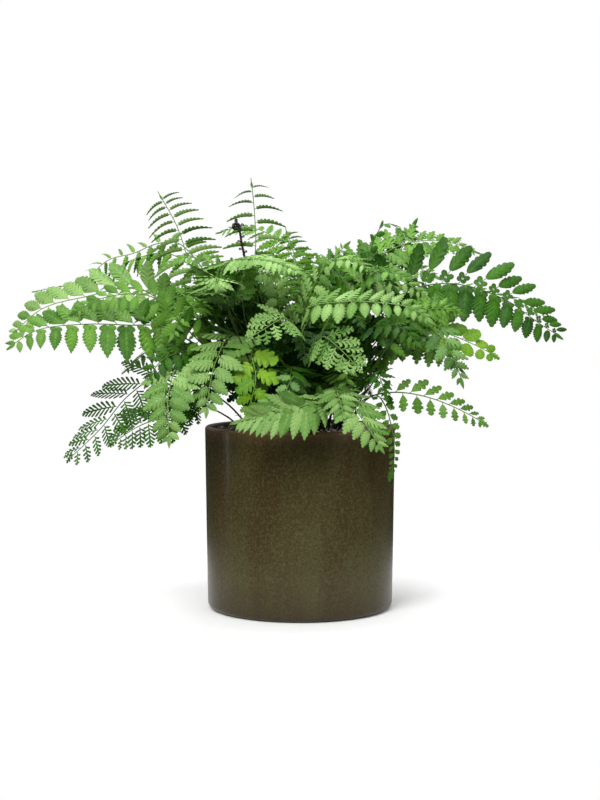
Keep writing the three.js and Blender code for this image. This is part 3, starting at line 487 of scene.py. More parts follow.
def vertices_of(node):
    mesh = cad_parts[node].data
    points = np.empty(len(mesh.vertices) * 3, np.float32)
    mesh.vertices.foreach_get("co", points)
    return points.reshape(-1, 3).astype(float) / MM


def nearest(points, place):
    return np.linalg.norm(points - place, axis=1).min()


def crown_slots(count):
    places = []
    for i in range(count):
        radius = CROWN_SPACING * math.sqrt(i + 0.5)
        angle = i * GOLDEN_ANGLE
        x = CROWN_CENTRE[0] + radius * math.cos(angle)
        y = CROWN_CENTRE[1] + radius * math.sin(angle)
        places.append((x, y, SOIL_CROWN - CROWN_DEPTH))
    return np.array(places)


def walk_of(spec, points, slots):
    root = min(slots, key=lambda slot: nearest(points, slot))
    route = [np.array(p, float) for p in spec["route"]]
    knots = [root, root + (route[0] - root) * SHOULDER, *route, *spec.get("coil_points", [])]

    def miss(sway):
        walk = Walk(knots, sway, spec["face"])
        point, _, up, _ = walk.frame(CROWN_EMERGE)
        return nearest(points, point - up * CROWN_SURFACE * walk.width(CROWN_EMERGE))

    return Walk(knots, min(SWAYS, key=miss), spec["face"])


def leaf_length(spec, share):
    if share < TAPER_BELLY:
        return spec["reach"] * lerp(TAPER_FIRST, 1, math.sin(share / TAPER_BELLY * math.pi / 2))
    fall = ((share - TAPER_BELLY) / (1 - TAPER_BELLY)) ** TAPER_FALL
    return spec["reach"] * lerp(1, spec["last"], fall)


def station(spec, walk, share):
    """The length along the stem at which the leaflet with this share of the row stands."""
    bare = spec["bare"] * walk.total
    leafy = walk.total - TIP_LENGTH - bare
    return bare + leafy * (1 - (1 - share) ** CROWDING)


class Sheet:
    """The bent surface that a leaflet lies in. x runs along it and y across, h stands above it."""

    def __init__(self, foot, axis, across, length, droop, side=1):
        self.foot = foot
        self.axis = axis
        self.across = across
        self.hang = square(DOWN, axis)
        self.length = length
        self.droop = droop
        self.side = side

    def place(self, x, y, h):
        """Points of the sheet, in the shape of the grids x, y and h."""
        shape = x.shape
        x, y, h = x.ravel(), y.ravel(), h.ravel()
        u = x / self.length
        way = self.axis + self.hang * (2 * self.droop * u)[:, None]
        way /= np.linalg.norm(way, axis=1)[:, None]
        over = self.across - way * (way @ self.across)[:, None]
        over /= np.linalg.norm(over, axis=1)[:, None]
        normal = np.cross(way, over) * self.side
        sag = self.hang * (self.droop * self.length * u * u)[:, None]
        middle = self.foot + self.axis * x[:, None] + sag
        return (middle + over * y[:, None] + normal * h[:, None]).reshape(*shape, 3)

    def place_turned(self, origin, angle, x, y, h):
        """The same, for x and y that are turned by an angle and start from an origin."""
        c, s = math.cos(angle), math.sin(angle)
        return self.place(origin[0] + c * x - s * y, origin[1] + s * x + c * y, h)


def leaf_sheet(walk, spec, s, side, share, length, draws, pose, roll=0.0):
    point, along, up, right = walk.frame(s)
    more_droop, more_lift, size = pose
    lean = spec["gain"] * share + spec["upright"] * side * right[2]
    sweep = math.radians(spec["sweep"] + lean + draws[0])
    lift = math.radians(spec["lift"] + draws[1] + more_lift)
    axis = right * side * math.cos(sweep) * math.cos(lift)
    axis = axis + along * math.sin(sweep) * math.cos(lift) + up * math.sin(lift)
    across = turned(unit(square(along, axis)), axis, math.radians(spec["twist"] + roll) * side)
    foot = point + right * side * walk.width(s)
    return Sheet(foot, axis, across, length * size, spec["droop"] + draws[2] + more_droop, side)


def leaf_draws(index, i):
    """What a leaflet adds to its sweep, lift and droop."""
    return pick(-4, 4, index, i + 50), pick(-6, 6, index, i + 100), pick(-0.04, 0.04, index, i + 150)


def poses_of(spec, index, walk, points):
    """For each side of the stem, where its leaflets stand on the solid and the pose of each."""
    count = spec["pairs"] * 2
    found = {-1: [], 1: []}
    for i in range(count):
        share = i / count
        side = 1 if i % 2 else -1
        s = (station(spec, walk, i / count) + station(spec, walk, (i + 1) / count)) / 2
        length = leaf_length(spec, share) * pick(*VARIED, index, i)
        best = (NEAR_ENOUGH, None)
        for pose in POSES:
            sheet = leaf_sheet(walk, spec, s, side, share, length, leaf_draws(index, i), pose)
            tip = sheet.place(np.array([sheet.length]), np.zeros(1), np.array([SOLID_HALF]))[0]
            best = min(best, (nearest(points, tip), pose), key=lambda miss: miss[0])
        if best[1] is not None:
            found[side].append((share, best[1]))
    return found


# A closed shell under construction, with what its material needs at each point

def looks_for(shape, along=0.0, across=0.0, draw=0.0, side=0.0):
    """A grid of looks: share along, share across, the leaflet's own draw, and the side with veins."""
    looks = np.empty((*shape, 4))
    for channel, value in enumerate((along, across, draw, side)):
        looks[..., channel] = value
    return looks


def new_object(name, data):
    made = bpy.data.objects.new(name, data)
    bpy.context.scene.collection.objects.link(made)
    return made


class Shell:
    """Closed bodies that make one piece. faces: the quads, triangles and material of each."""

    def __init__(self):
        self.points = []
        self.looks = []
        self.faces = []
        self.count = 0

    def add(self, points, looks):
        """Points in millimetres with their looks. Returns the number of the first one."""
        self.points.append(points)
        self.looks.append(looks)
        first = self.count
        self.count += len(points)
        return first

    def tube(self, rings, looks, kind, flip=False):
        """A closed body through rings of points: the first and the last ring end in one point each."""
        rows, around = rings.shape[0], rings.shape[1]
        first = self.add(rings.reshape(-1, 3), looks.reshape(-1, 4))
        ends = self.add(
            np.array([rings[0].mean(axis=0), rings[-1].mean(axis=0)]),
            np.array([looks[0].mean(axis=0), looks[-1].mean(axis=0)]),
        )
        row, j = np.meshgrid(np.arange(rows - 1), np.arange(around), indexing="ij")
        a = first + row * around + j
        b = first + row * around + (j + 1) % around
        quads = np.stack([a, a + around, b + around, b], axis=-1).reshape(-1, 4)
        j = np.arange(around)
        after = (j + 1) % around
        last = first + (rows - 1) * around
        start_cap = np.stack([np.full(around, ends), first + j, first + after], axis=-1)
        end_cap = np.stack([np.full(around, ends + 1), last + after, last + j], axis=-1)
        step = -1 if flip else 1
        self.faces.append((quads[:, ::step], np.concatenate([start_cap, end_cap])[:, ::step], kind))

    def build(self, name, materials):
        mesh = bpy.data.meshes.new(name)
        points = np.concatenate(self.points) * MM
        *faces, kinds = zip(*self.faces)
        kinds = np.concatenate([np.full(len(f), k) for group in faces for f, k in zip(group, kinds)])
        quads, triangles = (np.concatenate(group) for group in faces)
        loops = np.concatenate([quads.ravel(), triangles.ravel()]).astype(np.int32)
        sizes = np.concatenate([np.full(len(quads), 4), np.full(len(triangles), 3)])
        mesh.vertices.add(len(points))
        mesh.vertices.foreach_set("co", points.astype(np.float32).ravel())
        mesh.loops.add(len(loops))
        mesh.loops.foreach_set("vertex_index", loops)
        mesh.polygons.add(len(sizes))
        starts = np.concatenate([[0], np.cumsum(sizes)[:-1]])
        mesh.polygons.foreach_set("loop_start", starts.astype(np.int32))
        mesh.polygons.foreach_set("material_index", kinds.astype(np.int32))
        looks = mesh.attributes.new("looks", "FLOAT_COLOR", "POINT")
        looks.data.foreach_set("color", np.concatenate(self.looks).astype(np.float32).ravel())
        for material in materials:
            mesh.materials.append(material)
        mesh.update(calc_edges=True)
        mesh.validate()
        mesh.polygons.foreach_set("use_smooth", np.ones(len(mesh.polygons), bool))
        mesh.set_sharp_from_angle(angle=SHARP_ANGLE)
        return new_object(name, mesh)


# Blades

def blade(shell, sheet, kind, origin, angle, length, half, draw):
    """A thin leaf blade in a leaflet's sheet. origin, length and half width are in millimetres."""
    form = FORMS[kind]
    teeth = range(form["teeth"])
    t = np.array([(k + phase) / len(teeth) for k in teeth for phase, _ in TOOTH][1:] + [TOOTH_END[0]])
    bulge = np.array([out for _ in teeth for _, out in TOOTH][1:] + [TOOTH_END[1]])
    skew, fullness = form["outline"]
    width = np.sin(np.pi * np.clip(t, 1e-4, 0.9999) ** skew) ** fullness
    start = np.clip((t - form["smooth"]) / TEETH_GROW, 0, 1)
    columns, over = (LIGHT_SECTION if kind == "cut" else FULL_SECTION).T
    away = np.abs(columns)[None, :]
    cuts = np.where(columns > 0, form["cuts"][0], form["cuts"][1])
    edge = 1 - cuts[None, :] * (start * (1 - bulge))[:, None]
    across = away * width[:, None]
    y = columns[None, :] * width[:, None] * edge * half
    lag = form["slant"] * half * width * np.clip(t / LAG_GROW, 0, 1)
    x_mid = np.maximum(t * length - lag, t * length * LAG_LEAST)
    x = lerp(x_mid[:, None], (t * length)[:, None], away)
    thick = BLADE_THICK * 0.5 * np.minimum(1, width * half / THIN_BELOW)
    quilt = QUILT * half * (bulge - 0.5)[:, None] * (away == 0.5)
    groove = -GROOVE * half * (away == 0)
    arch = -form["arch"] * half * across ** 2
    h = arch + (quilt + groove) * width[:, None] + over[None, :] * thick[:, None]
    side = np.where(over < 0, 0.0, bulge[:, None] * 0.4 + 0.6)
    looks = looks_for(x.shape, t[:, None], away, draw, side)
    shell.tube(sheet.place_turned(origin, angle, x, y, h), looks, LEAF, flip=sheet.side < 0)


def segment(shell, sheet, origin, angle, length, half, draw):
    """A small narrow blade: one of the parts that a lacy leaflet is cut into."""
    columns, over = LIGHT_SECTION.T
    t = SEGMENT_ROWS[:, None]
    x = t * length + 0 * columns
    y = columns * SEGMENT_WIDTHS[:, None] * half
    h = over * SEGMENT_HALF_THICK - SEGMENT_ARCH * np.abs(y)
    side = np.where(over < 0, 0.0, 0.75)
    looks = looks_for(x.shape, 0.2 + 0.8 * t, 0.25 + 0.75 * np.abs(columns), draw, side)
    shell.tube(sheet.place_turned(origin, angle, x, y, h), looks, LEAF, flip=sheet.side < 0)


def stalk(shell, sheet, end, draw):
    """A short stalk along the middle of a leaflet's sheet, from inside the stem to its end."""
    angles = turns_of(5)
    x = lerp(-STALK_SUNK, end, np.linspace(0, 1, 4))[:, None] + 0 * angles
    y = np.tile(np.cos(angles), (4, 1)) * STALK_RADIUS
    h = np.tile(np.sin(angles), (4, 1)) * STALK_RADIUS
    shell.tube(sheet.place(x, y, h), looks_for(x.shape, 0.85, 0, draw), STEM, flip=sheet.side > 0)


def lace(shell, sheet, half, draw, lace_kind):
    """A leaflet cut to its midrib: a thin rib with narrow segments on both sides of it."""
    length = sheet.length
    spacing, width, forks = lace_kind
    segment(shell, sheet, (0, 0), 0, length, 0.55 + 0.012 * length, draw)
    pairs = max(3, int(length / spacing))
    for k in range(pairs):
        place = (k + 0.7) / (pairs + 0.6)
        reach = half * 1.15 * math.sin(math.pi * place ** 0.66) ** 0.6
        for side in (-1, 1):
            angle = side * math.radians(lerp(*LACE_ANGLES, place))
            x = length * place * 0.94 + (0.3 * spacing if side > 0 else 0)
            wide = width * lerp(0.75, 1.0, min(1, reach / 5))
            segment(shell, sheet, (x, 0), angle, reach, wide, draw)
            for fork in range(forks if reach > FORKED_FROM else 0):
                at = 0.34 + 0.26 * fork
                turn = angle + (FORK_TURN if fork % 2 else -FORK_TURN) * side
                tip = (x + at * reach * math.cos(angle), at * reach * math.sin(angle))
                segment(shell, sheet, tip, turn, reach * FORK_LENGTH, wide * FORK_WIDTH, draw)


def leaflet(shell, sheet, spec, draw):
    upward = "upper" in spec and sheet.axis[2] > UPWARD
    form = spec["upper"] if upward else spec["form"]
    length = sheet.length * (spec.get("upper_length", 1) if upward else 1)
    half = length * (spec["upper_breadth"] if upward else spec["breadth"]) / 2
    if form in LACES:
        lace(shell, sheet, half, draw, LACES[form])
        return
    if form == "cut":
        blade(shell, sheet, form, (-CUT_SUNK, 0), 0, length + CUT_SUNK, half, draw)
        return
    eared = form in ("lance", "glossy") and length > EARED_LENGTH
    foot = PADDLE_FOOT if form == "paddle" else EARED_FOOT if eared else PLAIN_FOOT
    stalk_end, start, fullness, pinnules = foot
    stalk(shell, sheet, stalk_end * length, draw)
    for place, size in pinnules:
        small = size * sheet.length
        for side in (-1, 1):
            origin = (place * sheet.length, side * PINNULE_ASIDE)
            blade(shell, sheet, "round", origin, side * PINNULE_ANGLE, small, small * PINNULE_HALF, draw)
    blade(shell, sheet, form, (start * length, 0), 0, (1 - start) * length, half * fullness, draw)


STEM_FULL = 0.82
STEM_FLAT = 0.9


def stem_rings(walk, count, radius_at, flat=1.0):
    rings = np.empty((count + 1, STEM_SIDES, 3))
    for i in range(count + 1):
        s = walk.total * i / count
        point, _, up, right = walk.frame(s)
        rings[i] = point + spokes(right, up, STEM_SIDES, flat) * radius_at(s)
    return rings


def stem(shell, walk, bare):
    """The round stem, a little flat above. Its look is dark to the first leaflets, then green."""
    count = max(8, int(walk.total / STEM_STEP))
    rings = stem_rings(walk, count, lambda s: walk.width(s) * STEM_FULL, STEM_FLAT)
    share = np.arange(count + 1) / count
    along = np.where(share < bare, share / bare * 0.5, 0.5 + 0.5 * (share - bare) / (1 - bare))
    above = np.maximum(0, np.sin(turns_of(STEM_SIDES)))
    shell.tube(rings, looks_for(rings.shape[:2], along[:, None], above), STEM, flip=True)


def scale(shell, walk, s, turn, lean, sunk, length, half):
    """A small brown scale on a stem. lean: how much it points along the stem and how much away."""
    point, along, up, right = walk.frame(s)
    out = right * math.cos(turn) + up * math.sin(turn)
    axis = unit(along * lean[0] + out * lean[1])
    sheet = Sheet(point + out * sunk, axis, unit(np.cross(axis, out)), length, 0.1)
    segment(shell, sheet, (0, 0), 0, length, half, 0)


def scales(shell, walk, seed):
    """The scales that stand on the foot of a stem."""
    for k in range(8):
        s = CROWN_EMERGE * 0.6 + 3.2 * k + chance(seed, k)
        turn = chance(seed, k + 20) * 2 * math.pi
        scale(shell, walk, s, turn, (0.8, 0.7), walk.width(s) * 0.5, 3.6, 0.45)


def crozier(shell, walk, spec, seed):
    """A young frond: a dark stem, its tight coil, small rolled side leaves below it, and scales."""
    coil = 2 * math.pi * spec["coil"][0] * spec["coil"][1] * 0.65

    def radius_at(s):
        left = walk.total - s
        return lerp(0.75, 1.45, min(1, left / coil * 1.8)) if left < coil else 1.25

    rings = stem_rings(walk, int(walk.total / 1.2), radius_at)
    along = np.linspace(0, 1, len(rings))[:, None]
    shell.tube(rings, looks_for(rings.shape[:2], along), STEM, flip=True)
    for k in range(9):
        s = walk.total - coil + 3 - (2.2 if k < 4 else 4) * k
        side = -1 if k % 2 else 1
        point, along, up, right = walk.frame(s)
        bud(shell, point + right * side * 0.8, right * side, along, up, 1.7 if k < 4 else 1.3)
    for k in range(26):
        s = walk.total - (coil + 34) * chance(seed, k)
        turn = chance(seed, k + 40) * 2 * math.pi
        scale(shell, walk, s, turn, (0.9, 0.6), 1.0, 2.8, 0.4)


BUD_STEPS = 14
BUD_SIDES = 6


def bud(shell, point, out, along, up, size):
    """A small side leaf on its stalk that is still rolled up to a ball."""
    middles = []
    for i in range(BUD_STEPS + 1):
        share = i / BUD_STEPS
        turn = -1.2 + 2.2 * math.pi * share
        r = size * lerp(1, 0.3, share)
        away = out * (size * 1.6 - r * math.cos(turn))
        middles.append(point + away + along * (r * math.sin(turn) + size * 0.6))
    middles[0] = point
    rings = np.empty((BUD_STEPS + 1, BUD_SIDES, 3))
    for i, middle in enumerate(middles):
        way = unit(middles[min(i + 1, BUD_STEPS)] - middles[max(i - 1, 0)])
        first = unit(square(up, way))
        radius = size * lerp(0.4, 0.55, i / BUD_STEPS)
        rings[i] = middle + spokes(first, np.cross(way, first), BUD_SIDES) * radius
    shell.tube(rings, looks_for(rings.shape[:2], 0.5), STEM)


def tip_leaf(shell, walk, spec, draw):
    """The end of a frond, where its last leaflets run together into one cut blade."""
    point, along, _, right = walk.frame(walk.total - TIP_LENGTH - 1.5)
    length = (TIP_LENGTH + 3) * (0.6 if spec["form"] == "crescent" else 1)
    sheet = Sheet(point, along, -right, length, 0.1)
    if spec["form"] in LACES:
        lace(shell, sheet, 3.2, draw, LACES[spec["form"]])
    elif spec["form"] in ("round", "lobed", "wedge"):
        blade(shell, sheet, "lobed", (0, 0), 0, length, length * 0.3, draw)
    else:
        blade(shell, sheet, "lance", (0, 0), 0, length, length * 0.2, draw)


def leafy_stem(shell, walk, spec, index, poses):
    """A whole frond on its stem's middle line. poses: for each side, the pose at some places."""
    stem(shell, walk, spec["bare"])
    count = spec["fine"] * 2
    for i in range(count):
        side = 1 if i % 2 else -1
        share = i / count
        droop, lift, size = min(poses[side], key=lambda p: abs(p[0] - share), default=(0, POSES[0]))[1]
        s = station(spec, walk, (i + 0.5) / count)
        length = leaf_length(spec, share) * pick(*VARIED_HERE, index, i + 200)
        pose = (droop, lift, size ** FULLER)
        roll = spec.get("roll", ROLL) * pick(-1, 1, index, i + 230)
        sheet = leaf_sheet(walk, spec, s, side, share, length, leaf_draws(index, i), pose, roll)
        leaflet(shell, sheet, spec, chance(index, i + 250))
    tip_leaf(shell, walk, spec, chance(index, 299))
    scales(shell, walk, index)


def frond_piece(spec, index, slots, materials):
    name = spec["name"]
    points = vertices_of(name)
    walk = walk_of(spec, points, slots)
    shell = Shell()
    if "coil" in spec:
        crozier(shell, walk, spec, index)
    else:
        leafy_stem(shell, walk, spec, index, poses_of(spec, index, walk, points))
    piece = shell.build("fine_" + name, materials)
    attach(piece, "root")
    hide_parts(name)
    return piece


# The undergrowth: short fronds in the shade that fill the crown between the others. It has so many
# pieces of one tone each, with as many fronds in each.

# painted shade: the undergrowth takes the deep and dark leaf tones, darker copies of the leaves that
# stand for the shade inside the crown
UNDER_SHADE_TONES = ("deep", "deep", "dark", "dark")
UNDER_COUNT = 12
UNDER_SEED = 300
UNDER_BREADTH = 0.5


def under_spec(index):
    """A short arching frond. In front it stays low. At the sides it leaves the soil to be seen."""
    turn = index * GOLDEN_ANGLE
    out = np.array([math.cos(turn), math.sin(turn)])
    in_front = out[1] < -0.55
    over_gap = (-0.95 < out[0] < -0.55 and out[1] < 0) or (out[0] > 0.5 and abs(out[1]) < 0.8)
    ring = pick(8, 40, index, 1)
    reach = ring + pick(50, 112, index, 2)
    crest = pick(232, 310, index, 3) if in_front else pick(262, 352, index, 3)
    if over_gap:
        crest += 52 if out[0] > 0 else 40
    tip = crest - pick(4, 34, index, 4)
    steps = ((0.36, lerp(SOIL_CROWN, crest, 0.62)), (0.68, crest), (1, tip))
    middle = np.array(CROWN_CENTRE)
    root = [*(middle + out * ring), SOIL_CROWN - CROWN_DEPTH]
    route = [root, *[[*(middle + out * lerp(ring, reach, share)), z] for share, z in steps]]
    own = dict(form=("cut", "lobed", "cut", "crenate")[index % 4], fine=10, reach=pick(22, 30, index, 5),
               bare=0.3, face=(0.3 * out[0], 0.3 * out[1] - 0.35, 1), route=route)
    return {**KINDS["fill"], "breadth": UNDER_BREADTH, **own}


def placed(tone, form, fine, reach, bare, face, route, **own):
    own = dict(own, tone=tone, form=form, fine=fine, reach=reach, bare=bare, face=face, route=route)
    return {**KINDS["fill"], "breadth": UNDER_BREADTH, **own}


# Fronds of the undergrowth that are placed one by one. Some of the last rows have bare dark stems
# that show in front of the crown.

PLACED = [
    placed("dark", "lace", 11, 30, 0.5, (-0.4, -0.8, 0.4), [(-34, -8, 176), (-62, -22, 226),
           (-96, -38, 238), (-128, -48, 212), (-140, -54, 184)]),
    placed("dark", "lace", 10, 26, 0.5, (-0.3, -0.9, 0.3), [(-38, 6, 176), (-66, -4, 232),
           (-100, -14, 244), (-122, -20, 216), (-126, -24, 190)]),
    placed("mid", "fern", 12, 26, 0.5, (0, -0.8, 0.6), [(18, 20, 176), (34, 34, 300), (58, 40, 362),
           (86, 44, 376), (118, 46, 366)]),
    placed("light", "fern", 12, 26, 0.5, (0, -0.8, 0.6), [(22, 8, 176), (52, 14, 300), (84, 18, 352),
           (116, 18, 360), (150, 16, 346)]),
    placed("mid", "fern", 12, 24, 0.5, (0, -0.8, 0.6), [(6, 26, 176), (10, 44, 300), (22, 54, 356),
           (44, 58, 372), (72, 60, 368)]),
    placed("light", "fern", 12, 26, 0.46, (0, -0.8, 0.6), [(8, -8, 176), (40, -20, 290), (70, -30, 338),
           (100, -38, 344), (134, -44, 324)]),
    placed("mid", "fern", 12, 26, 0.46, (0, -0.8, 0.6), [(-26, 6, 176), (-60, -2, 290), (-96, -12, 330),
           (-130, -20, 326), (-160, -26, 300)]),
    placed("light", "fern", 12, 24, 0.5, (0, -0.8, 0.6), [(-14, 10, 176), (-20, -4, 290),
           (-28, -18, 346), (-44, -30, 352), (-64, -42, 336)]),
    placed("mid", "fan", 13, 24, 0.48, (-0.2, -0.9, 0.4), [(-34, -6, 176), (-84, -66, 262),
           (-112, -92, 294), (-146, -96, 326), (-190, -100, 326), (-228, -104, 308)]),
    placed("light", "fern", 11, 38, 0.74, (0, -0.7, 0.7), [(-20, -30, 176), (-50, -92, 262),
           (-67, -108, 304), (-76, -118, 338), (-79, -136, 343), (-80, -150, 330)], breadth=0.4),
    placed("mid", "fern", 9, 24, 0.76, (0.1, -0.5, 1), [(-10, -34, 176), (-38, -90, 262),
           (-54, -108, 304), (-56, -112, 348), (-44, -136, 356)]),
    placed("mid", "fern", 10, 24, 0.62, (0.2, -0.8, 0.6), [(28, -20, 176), (64, -92, 240),
           (90, -104, 282), (122, -98, 312), (154, -92, 314)]),
    placed("mid", "fern", 10, 24, 0.66, (0.2, -0.8, 0.6), [(32, -14, 176), (72, -90, 240),
           (100, -100, 282), (136, -92, 316), (166, -84, 308)]),
    placed("light", "crenate", 8, 26, 0.5, (0, -0.9, 0.5), [(22, -34, 176), (34, -92, 236),
           (38, -124, 228), (44, -140, 204)]),
    placed("mid", "crescent", 9, 26, 0.56, (0, -0.3, 1), [(-34, 20, 176), (-84, 44, 320),
           (-140, 66, 374), (-180, 76, 370), (-214, 80, 352)], breadth=0.26, last=0.5, droop=0.9,
           twist=30),
]


def loose_piece(name, materials, stems):
    """A piece of fronds that stand for no solid. stems: the index and the row of each."""
    shell = Shell()
    for index, spec in stems:
        walk = Walk([np.array(p, float) for p in spec["route"]], 0, spec["face"])
        leafy_stem(shell, walk, spec, index, {-1: [], 1: []})
    piece = shell.build(name, materials)
    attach(piece, "root")


def undergrowth(looks):
    groups = len(UNDER_SHADE_TONES)
    for group, tone in enumerate(UNDER_SHADE_TONES):
        indices = [UNDER_SEED + group + k * groups for k in range(UNDER_COUNT)]
        stems = [(index, under_spec(index)) for index in indices]
        loose_piece(f"undergrowth_{group + 1}", looks[tone], stems)
    for k, spec in enumerate(PLACED):
        tone = spec["tone"]
        loose_piece(f"placed_{k + 1}", looks[tone], [(UNDER_SEED - 1 - k, spec)])


# Materials. A colour that is one number is a grey.

def node_tree(name):
    material = bpy.data.materials.new(name)
    material.use_nodes = True
    tree = material.node_tree
    return material, tree, tree.nodes["Principled BSDF"]


def feed(tree, socket, value):
    """Give an input a number, a colour or another node's output."""
    if isinstance(value, tuple):
        socket.default_value = (*value, 1)[:len(socket.default_value)]
    elif isinstance(value, (int, float)):
        socket.default_value = value
    else:
        tree.links.new(value, socket)


def feed_all(tree, node, **inputs):
    """Feed a node's inputs by name, with _ for a space."""
    for name, value in inputs.items():
        feed(tree, node.inputs[name.replace("_", " ")], value)
    return node


def new_node(tree, kind, **inputs):
    return feed_all(tree, tree.nodes.new("ShaderNode" + kind), **inputs)


def ramp(tree, source, stops):
    node = new_node(tree, "ValToRGB", Fac=source)
    elements = node.color_ramp.elements
    while len(elements) < len(stops):
        elements.new(0.5)
    for element, (place, colour) in zip(elements, stops):
        element.position = place
        element.color = (*colour, 1) if isinstance(colour, tuple) else (colour, colour, colour, 1)
    return node.outputs["Color"]


def coordinates_of(tree, kind):
    return new_node(tree, "TexCoord").outputs[kind]


def height_of(tree, place):
    return new_node(tree, "SeparateXYZ", Vector=place).outputs["Z"]


def noise(tree, scale, detail, roughness=0.5, place=None):
    place = place or coordinates_of(tree, "Object")
    node = new_node(tree, "TexNoise", Scale=scale, Detail=detail, Roughness=roughness, Vector=place)
    return node.outputs["Fac"]


def mixed(tree, factor, first, second):
    node = new_node(tree, "Mix")
    node.data_type = "RGBA"
    for socket, value in ((0, factor), (6, first), (7, second)):
        feed(tree, node.inputs[socket], value)
    return node.outputs[2]


def painted(tree, base, colour, source, stops):
    """base with a colour over it, as much as the grey ramp of the source says."""
    return mixed(tree, ramp(tree, source, stops), base, colour)


def sums(tree, operation, first, second):
    node = new_node(tree, "Math")
    node.operation = operation
    node.use_clamp = True
    feed(tree, node.inputs[0], first)
    feed(tree, node.inputs[1], second)
    return node.outputs[0]


def weighed(tree, first, first_share, second, second_share):
    """The sum of two values, each by its share."""
    first = sums(tree, "MULTIPLY", first, first_share)
    return sums(tree, "ADD", first, sums(tree, "MULTIPLY", second, second_share))


def bump(tree, shader, height, strength, distance):
    node = new_node(tree, "Bump", Strength=strength, Distance=distance, Height=height)
    tree.links.new(node.outputs["Normal"], shader.inputs["Normal"])


def blended(tree, factor, first, second, output):
    """Link a mix of two shaders to the tree's output."""
    blend = new_node(tree, "MixShader", Fac=factor)
    tree.links.new(first.outputs[0], blend.inputs[1])
    tree.links.new(second.outputs[0], blend.inputs[2])
    tree.links.new(blend.outputs[0], tree.nodes[output].inputs["Surface"])


def looks_of(tree):
    """What the shell gives for each point: share along, share across, draw and side."""
    looks = new_node(tree, "Attribute")
    looks.attribute_name = "looks"
    parts = new_node(tree, "SeparateColor", Color=looks.outputs["Color"])
    return (*parts.outputs[:3], looks.outputs["Alpha"])


def leaf_material(name, deep, bright, rib, under):
    """Darker and brighter with the leaflet's draw and in blotches, with a pale rib, deep veins, painted
    shade that darkens the rim, a deeper tip, and a dull underside. Some light passes through."""
    material, tree, shader = node_tree(name)
    along, across, draw, side = looks_of(tree)
    age = weighed(tree, draw, 0.7, noise(tree, 90, 4), 0.5)
    base = ramp(tree, age, [(0.2, deep), (0.72, bright)])
    base = painted(tree, base, rib, across, [(0.0, 0.4), (0.2, 0)])
    base = painted(tree, base, deep, side, [(0.6, 0.6), (0.8, 0)])
    # painted shade: the colour darkens towards the leaflet's rim, a light middle with shaded edges
    base = painted(tree, base, deep, across, [(0.62, 0), (1.0, 0.5)])
    base = painted(tree, base, deep, along, [(0.5, 0), (1.0, 0.4)])
    colour = mixed(tree, ramp(tree, side, [(0.25, 0), (0.55, 1)]), under, base)
    rough = ramp(tree, noise(tree, 260, 2), [(0.3, 0.42), (0.7, 0.58)])
    feed_all(tree, shader, Base_Color=colour, Roughness=rough, Specular_IOR_Level=0.2)
    bump(tree, shader, noise(tree, 900, 3), 0.25, 0.0002)
    glow = new_node(tree, "BsdfTranslucent", Color=mixed(tree, 0.4, colour, bright))
    blended(tree, 0.14, shader, glow, "Material Output")
    return material


def stem_material(name, foot, tip):
    material, tree, shader = node_tree(name)
    along = looks_of(tree)[0]
    streaks = noise(tree, 240, 4)
    place = weighed(tree, along, 0.9, streaks, 0.14)
    colour = ramp(tree, place, [(0.4, foot), (0.68, tip)])
    rough = ramp(tree, streaks, [(0.3, 0.35), (0.7, 0.55)])
    feed_all(tree, shader, Base_Color=colour, Roughness=rough, Specular_IOR_Level=0.35)
    bump(tree, shader, noise(tree, 1400, 2), 0.3, 0.0002)
    return material


def glaze_material():
    """Olive clouds with brownish runs, pale and brown flecks, a bare clay lip and a darker foot."""
    material, tree, shader = node_tree("glaze")
    place = coordinates_of(tree, "Object")
    stretch = new_node(tree, "Mapping", Scale=(1, 1, 0.12), Vector=place)
    clouds = noise(tree, 9, 4, 0.6)
    runs = noise(tree, 38, 4, 0.6, stretch.outputs["Vector"])
    flecks = noise(tree, 420, 3, 0.7)
    grains = noise(tree, 900, 2, 0.6)
    base = ramp(tree, clouds, [(0.32, (0.048, 0.037, 0.01)), (0.7, (0.072, 0.068, 0.025))])
    base = painted(tree, base, (0.046, 0.029, 0.009), runs, [(0.4, 0.75), (0.56, 0)])
    base = painted(tree, base, (0.115, 0.108, 0.045), flecks, [(0.5, 0), (0.68, 0.7)])
    base = painted(tree, base, (0.02, 0.013, 0.004), grains, [(0.3, 0.8), (0.46, 0)])
    uneven = sums(tree, "MULTIPLY", noise(tree, 60, 3), 0.003)
    wave = sums(tree, "ADD", height_of(tree, place), uneven)
    near_lip = new_node(tree, "MapRange", Value=wave, From_Min=0.18, From_Max=0.1955).outputs["Result"]
    base = painted(tree, base, (0.2, 0.11, 0.06), near_lip, [(0.0, 0), (0.6, 0.35), (0.82, 1)])
    near_foot = sums(tree, "MULTIPLY", wave, 10)
    base = painted(tree, base, (0.032, 0.021, 0.008), near_foot, [(0.03, 0.7), (0.42, 0)])
    rough = ramp(tree, flecks, [(0.3, 0.24), (0.7, 0.36)])
    feed_all(tree, shader, Base_Color=base, Roughness=rough, Specular_IOR_Level=0.2)
    feed_all(tree, shader, Coat_Weight=0.07, Coat_Roughness=0.12)
    bump(tree, shader, clouds, 0.2, 0.002)
    return material


def soil_material():
    material, tree, shader = node_tree("soil")
    crumbs = noise(tree, 420, 5, 0.7)
    stops = [(0.3, (0.012, 0.008, 0.005)), (0.62, (0.06, 0.038, 0.022)), (0.8, (0.12, 0.08, 0.05))]
    rough = ramp(tree, crumbs, [(0.2, 0.8), (0.8, 0.98)])
    feed_all(tree, shader, Base_Color=ramp(tree, crumbs, stops), Roughness=rough)
    bump(tree, shader, noise(tree, 900, 4, 0.7), 0.8, 0.001)
    return material


